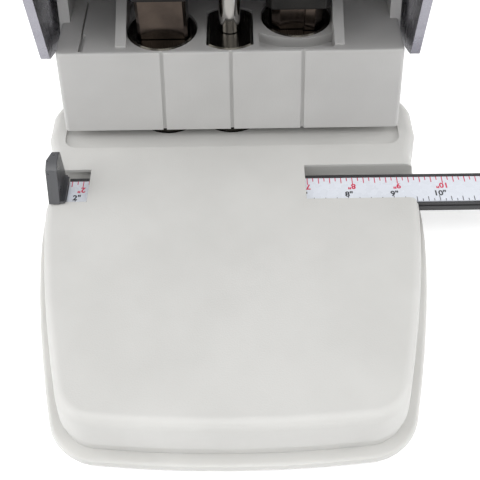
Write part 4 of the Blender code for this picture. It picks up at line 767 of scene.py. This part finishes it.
def crown(step):
    """Height of the pad's top at a step in from its rim: an elliptical arc at the edge, then a low crown."""
    edge = np.clip(step / edge_width, 0, 1)
    rise = np.clip(step / pad_half_depth, 0, 1)
    rounded_off = edge_drop * (1 - np.sqrt(1 - (1 - edge)**2))
    return grip_height - crown_rise - rounded_off + crown_rise * (1 - (1 - rise)**2)


underside = [(innermost, 0.0), (0.012, 0.0), (0.0016, 0.0), (0.0008, 0.0003), (0.0002, 0.0009), (0.0, 0.0014)]
edge_steps = edge_width * (1 - np.cos(np.linspace(0, math.pi / 2, 10)))
crown_steps = np.linspace(0.006, innermost, 10)
top = [(step, float(crown(step))) for step in (*edge_steps, *crown_steps)]
outlines = [(pad_outline(step), height) for step, height in underside + top]
pad = np.stack([np.column_stack([outline, np.full(len(outline), height)]) for outline, height in outlines])
pad_mesh = woven(carried(pad, grip_place))
set_down("palm_grip", pad_mesh, black_abs, "handle", nodes_replaced=["handle_grip"])

# The ribs are moulded with the pad. Each is a bar of oval section that thins to nothing at both ends.
rib_half, rib_half_width, rib_half_height, rib_sinks = 0.034, 0.0011, 0.0009, 0.0004
along = np.linspace(-1, 1, 41)
thin = np.sqrt(np.clip(1 - np.abs(along)**10, 0, 1))
around = np.linspace(0, math.tau, 20, endpoint=False)
rib_form = bmesh.new()
for rib_y in np.linspace(-0.010, 0.020, 7):
    rib = np.empty((len(along), len(around), 3))
    rib[..., 0] = (along * rib_half)[:, None]
    rib[..., 1] = rib_y + thin[:, None] * np.cos(around) * rib_half_width
    rib[..., 2] = grip_height - rib_sinks + thin[:, None] * np.sin(around) * rib_half_height
    rib_form.from_mesh(woven(carried(rib, grip_place)))
ribs_mesh = bpy.data.meshes.new("grip_ribs")
rib_form.to_mesh(ribs_mesh)
rib_form.free()
set_down("grip_ribs", ribs_mesh, black_abs, "handle")

# Presser
# A ground steel rail screwed between the handle's flanges, and a block that slides on it to the punch wanted.
# The block's stem carries a fluted black knob in front.
dress("presser_rail", rolled_plate, edge=0.0003, rounds=3)
dress("presser_block", rolled_plate, edge=0.0003, rounds=3)
knob_low, knob_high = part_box("selector_knob")
knob_radius = (knob_high[0] - knob_low[0]) / 2
knob_length = knob_high[1] - knob_low[1]
knob_sides, flutes, flute_depth = 96, 16, 0.045

# The knob's outline from the middle of its front to that of its rear, as shares of its radius and length
knob_rows = np.array([
    (0.0, 1.0), (0.45, 1.0), (0.72, 0.995), (0.86, 0.975), (0.95, 0.93), (1.0, 0.86), (1.0, 0.75),
    (1.0, 0.6), (1.0, 0.48), (0.985, 0.42), (0.93, 0.37), (0.84, 0.28), (0.74, 0.12), (0.70, 0.02),
    (0.68, 0.0), (0.0, 0.0),
])
knob = turned_surface(knob_rows * [knob_radius, knob_length], knob_sides)
knob_angle = np.linspace(0, math.tau, knob_sides, endpoint=False)
flute = 1 - flute_depth * (1 - np.cos(knob_angle * flutes)) / 2
fluted = ((knob_rows[:, 0] > 0.9) * 1.0)[:, None]
knob[..., :2] *= (1 - fluted + fluted * flute)[..., None]
knob_rear = Matrix.Translation((0, knob_high[1], (knob_low[2] + knob_high[2]) / 2))
knob_mesh = woven(carried(knob, knob_rear @ Matrix.Rotation(math.pi / 2, 4, "X")))
set_down("fluted_knob", knob_mesh, black_abs, "selector", nodes_replaced=["selector_knob"])

low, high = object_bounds()
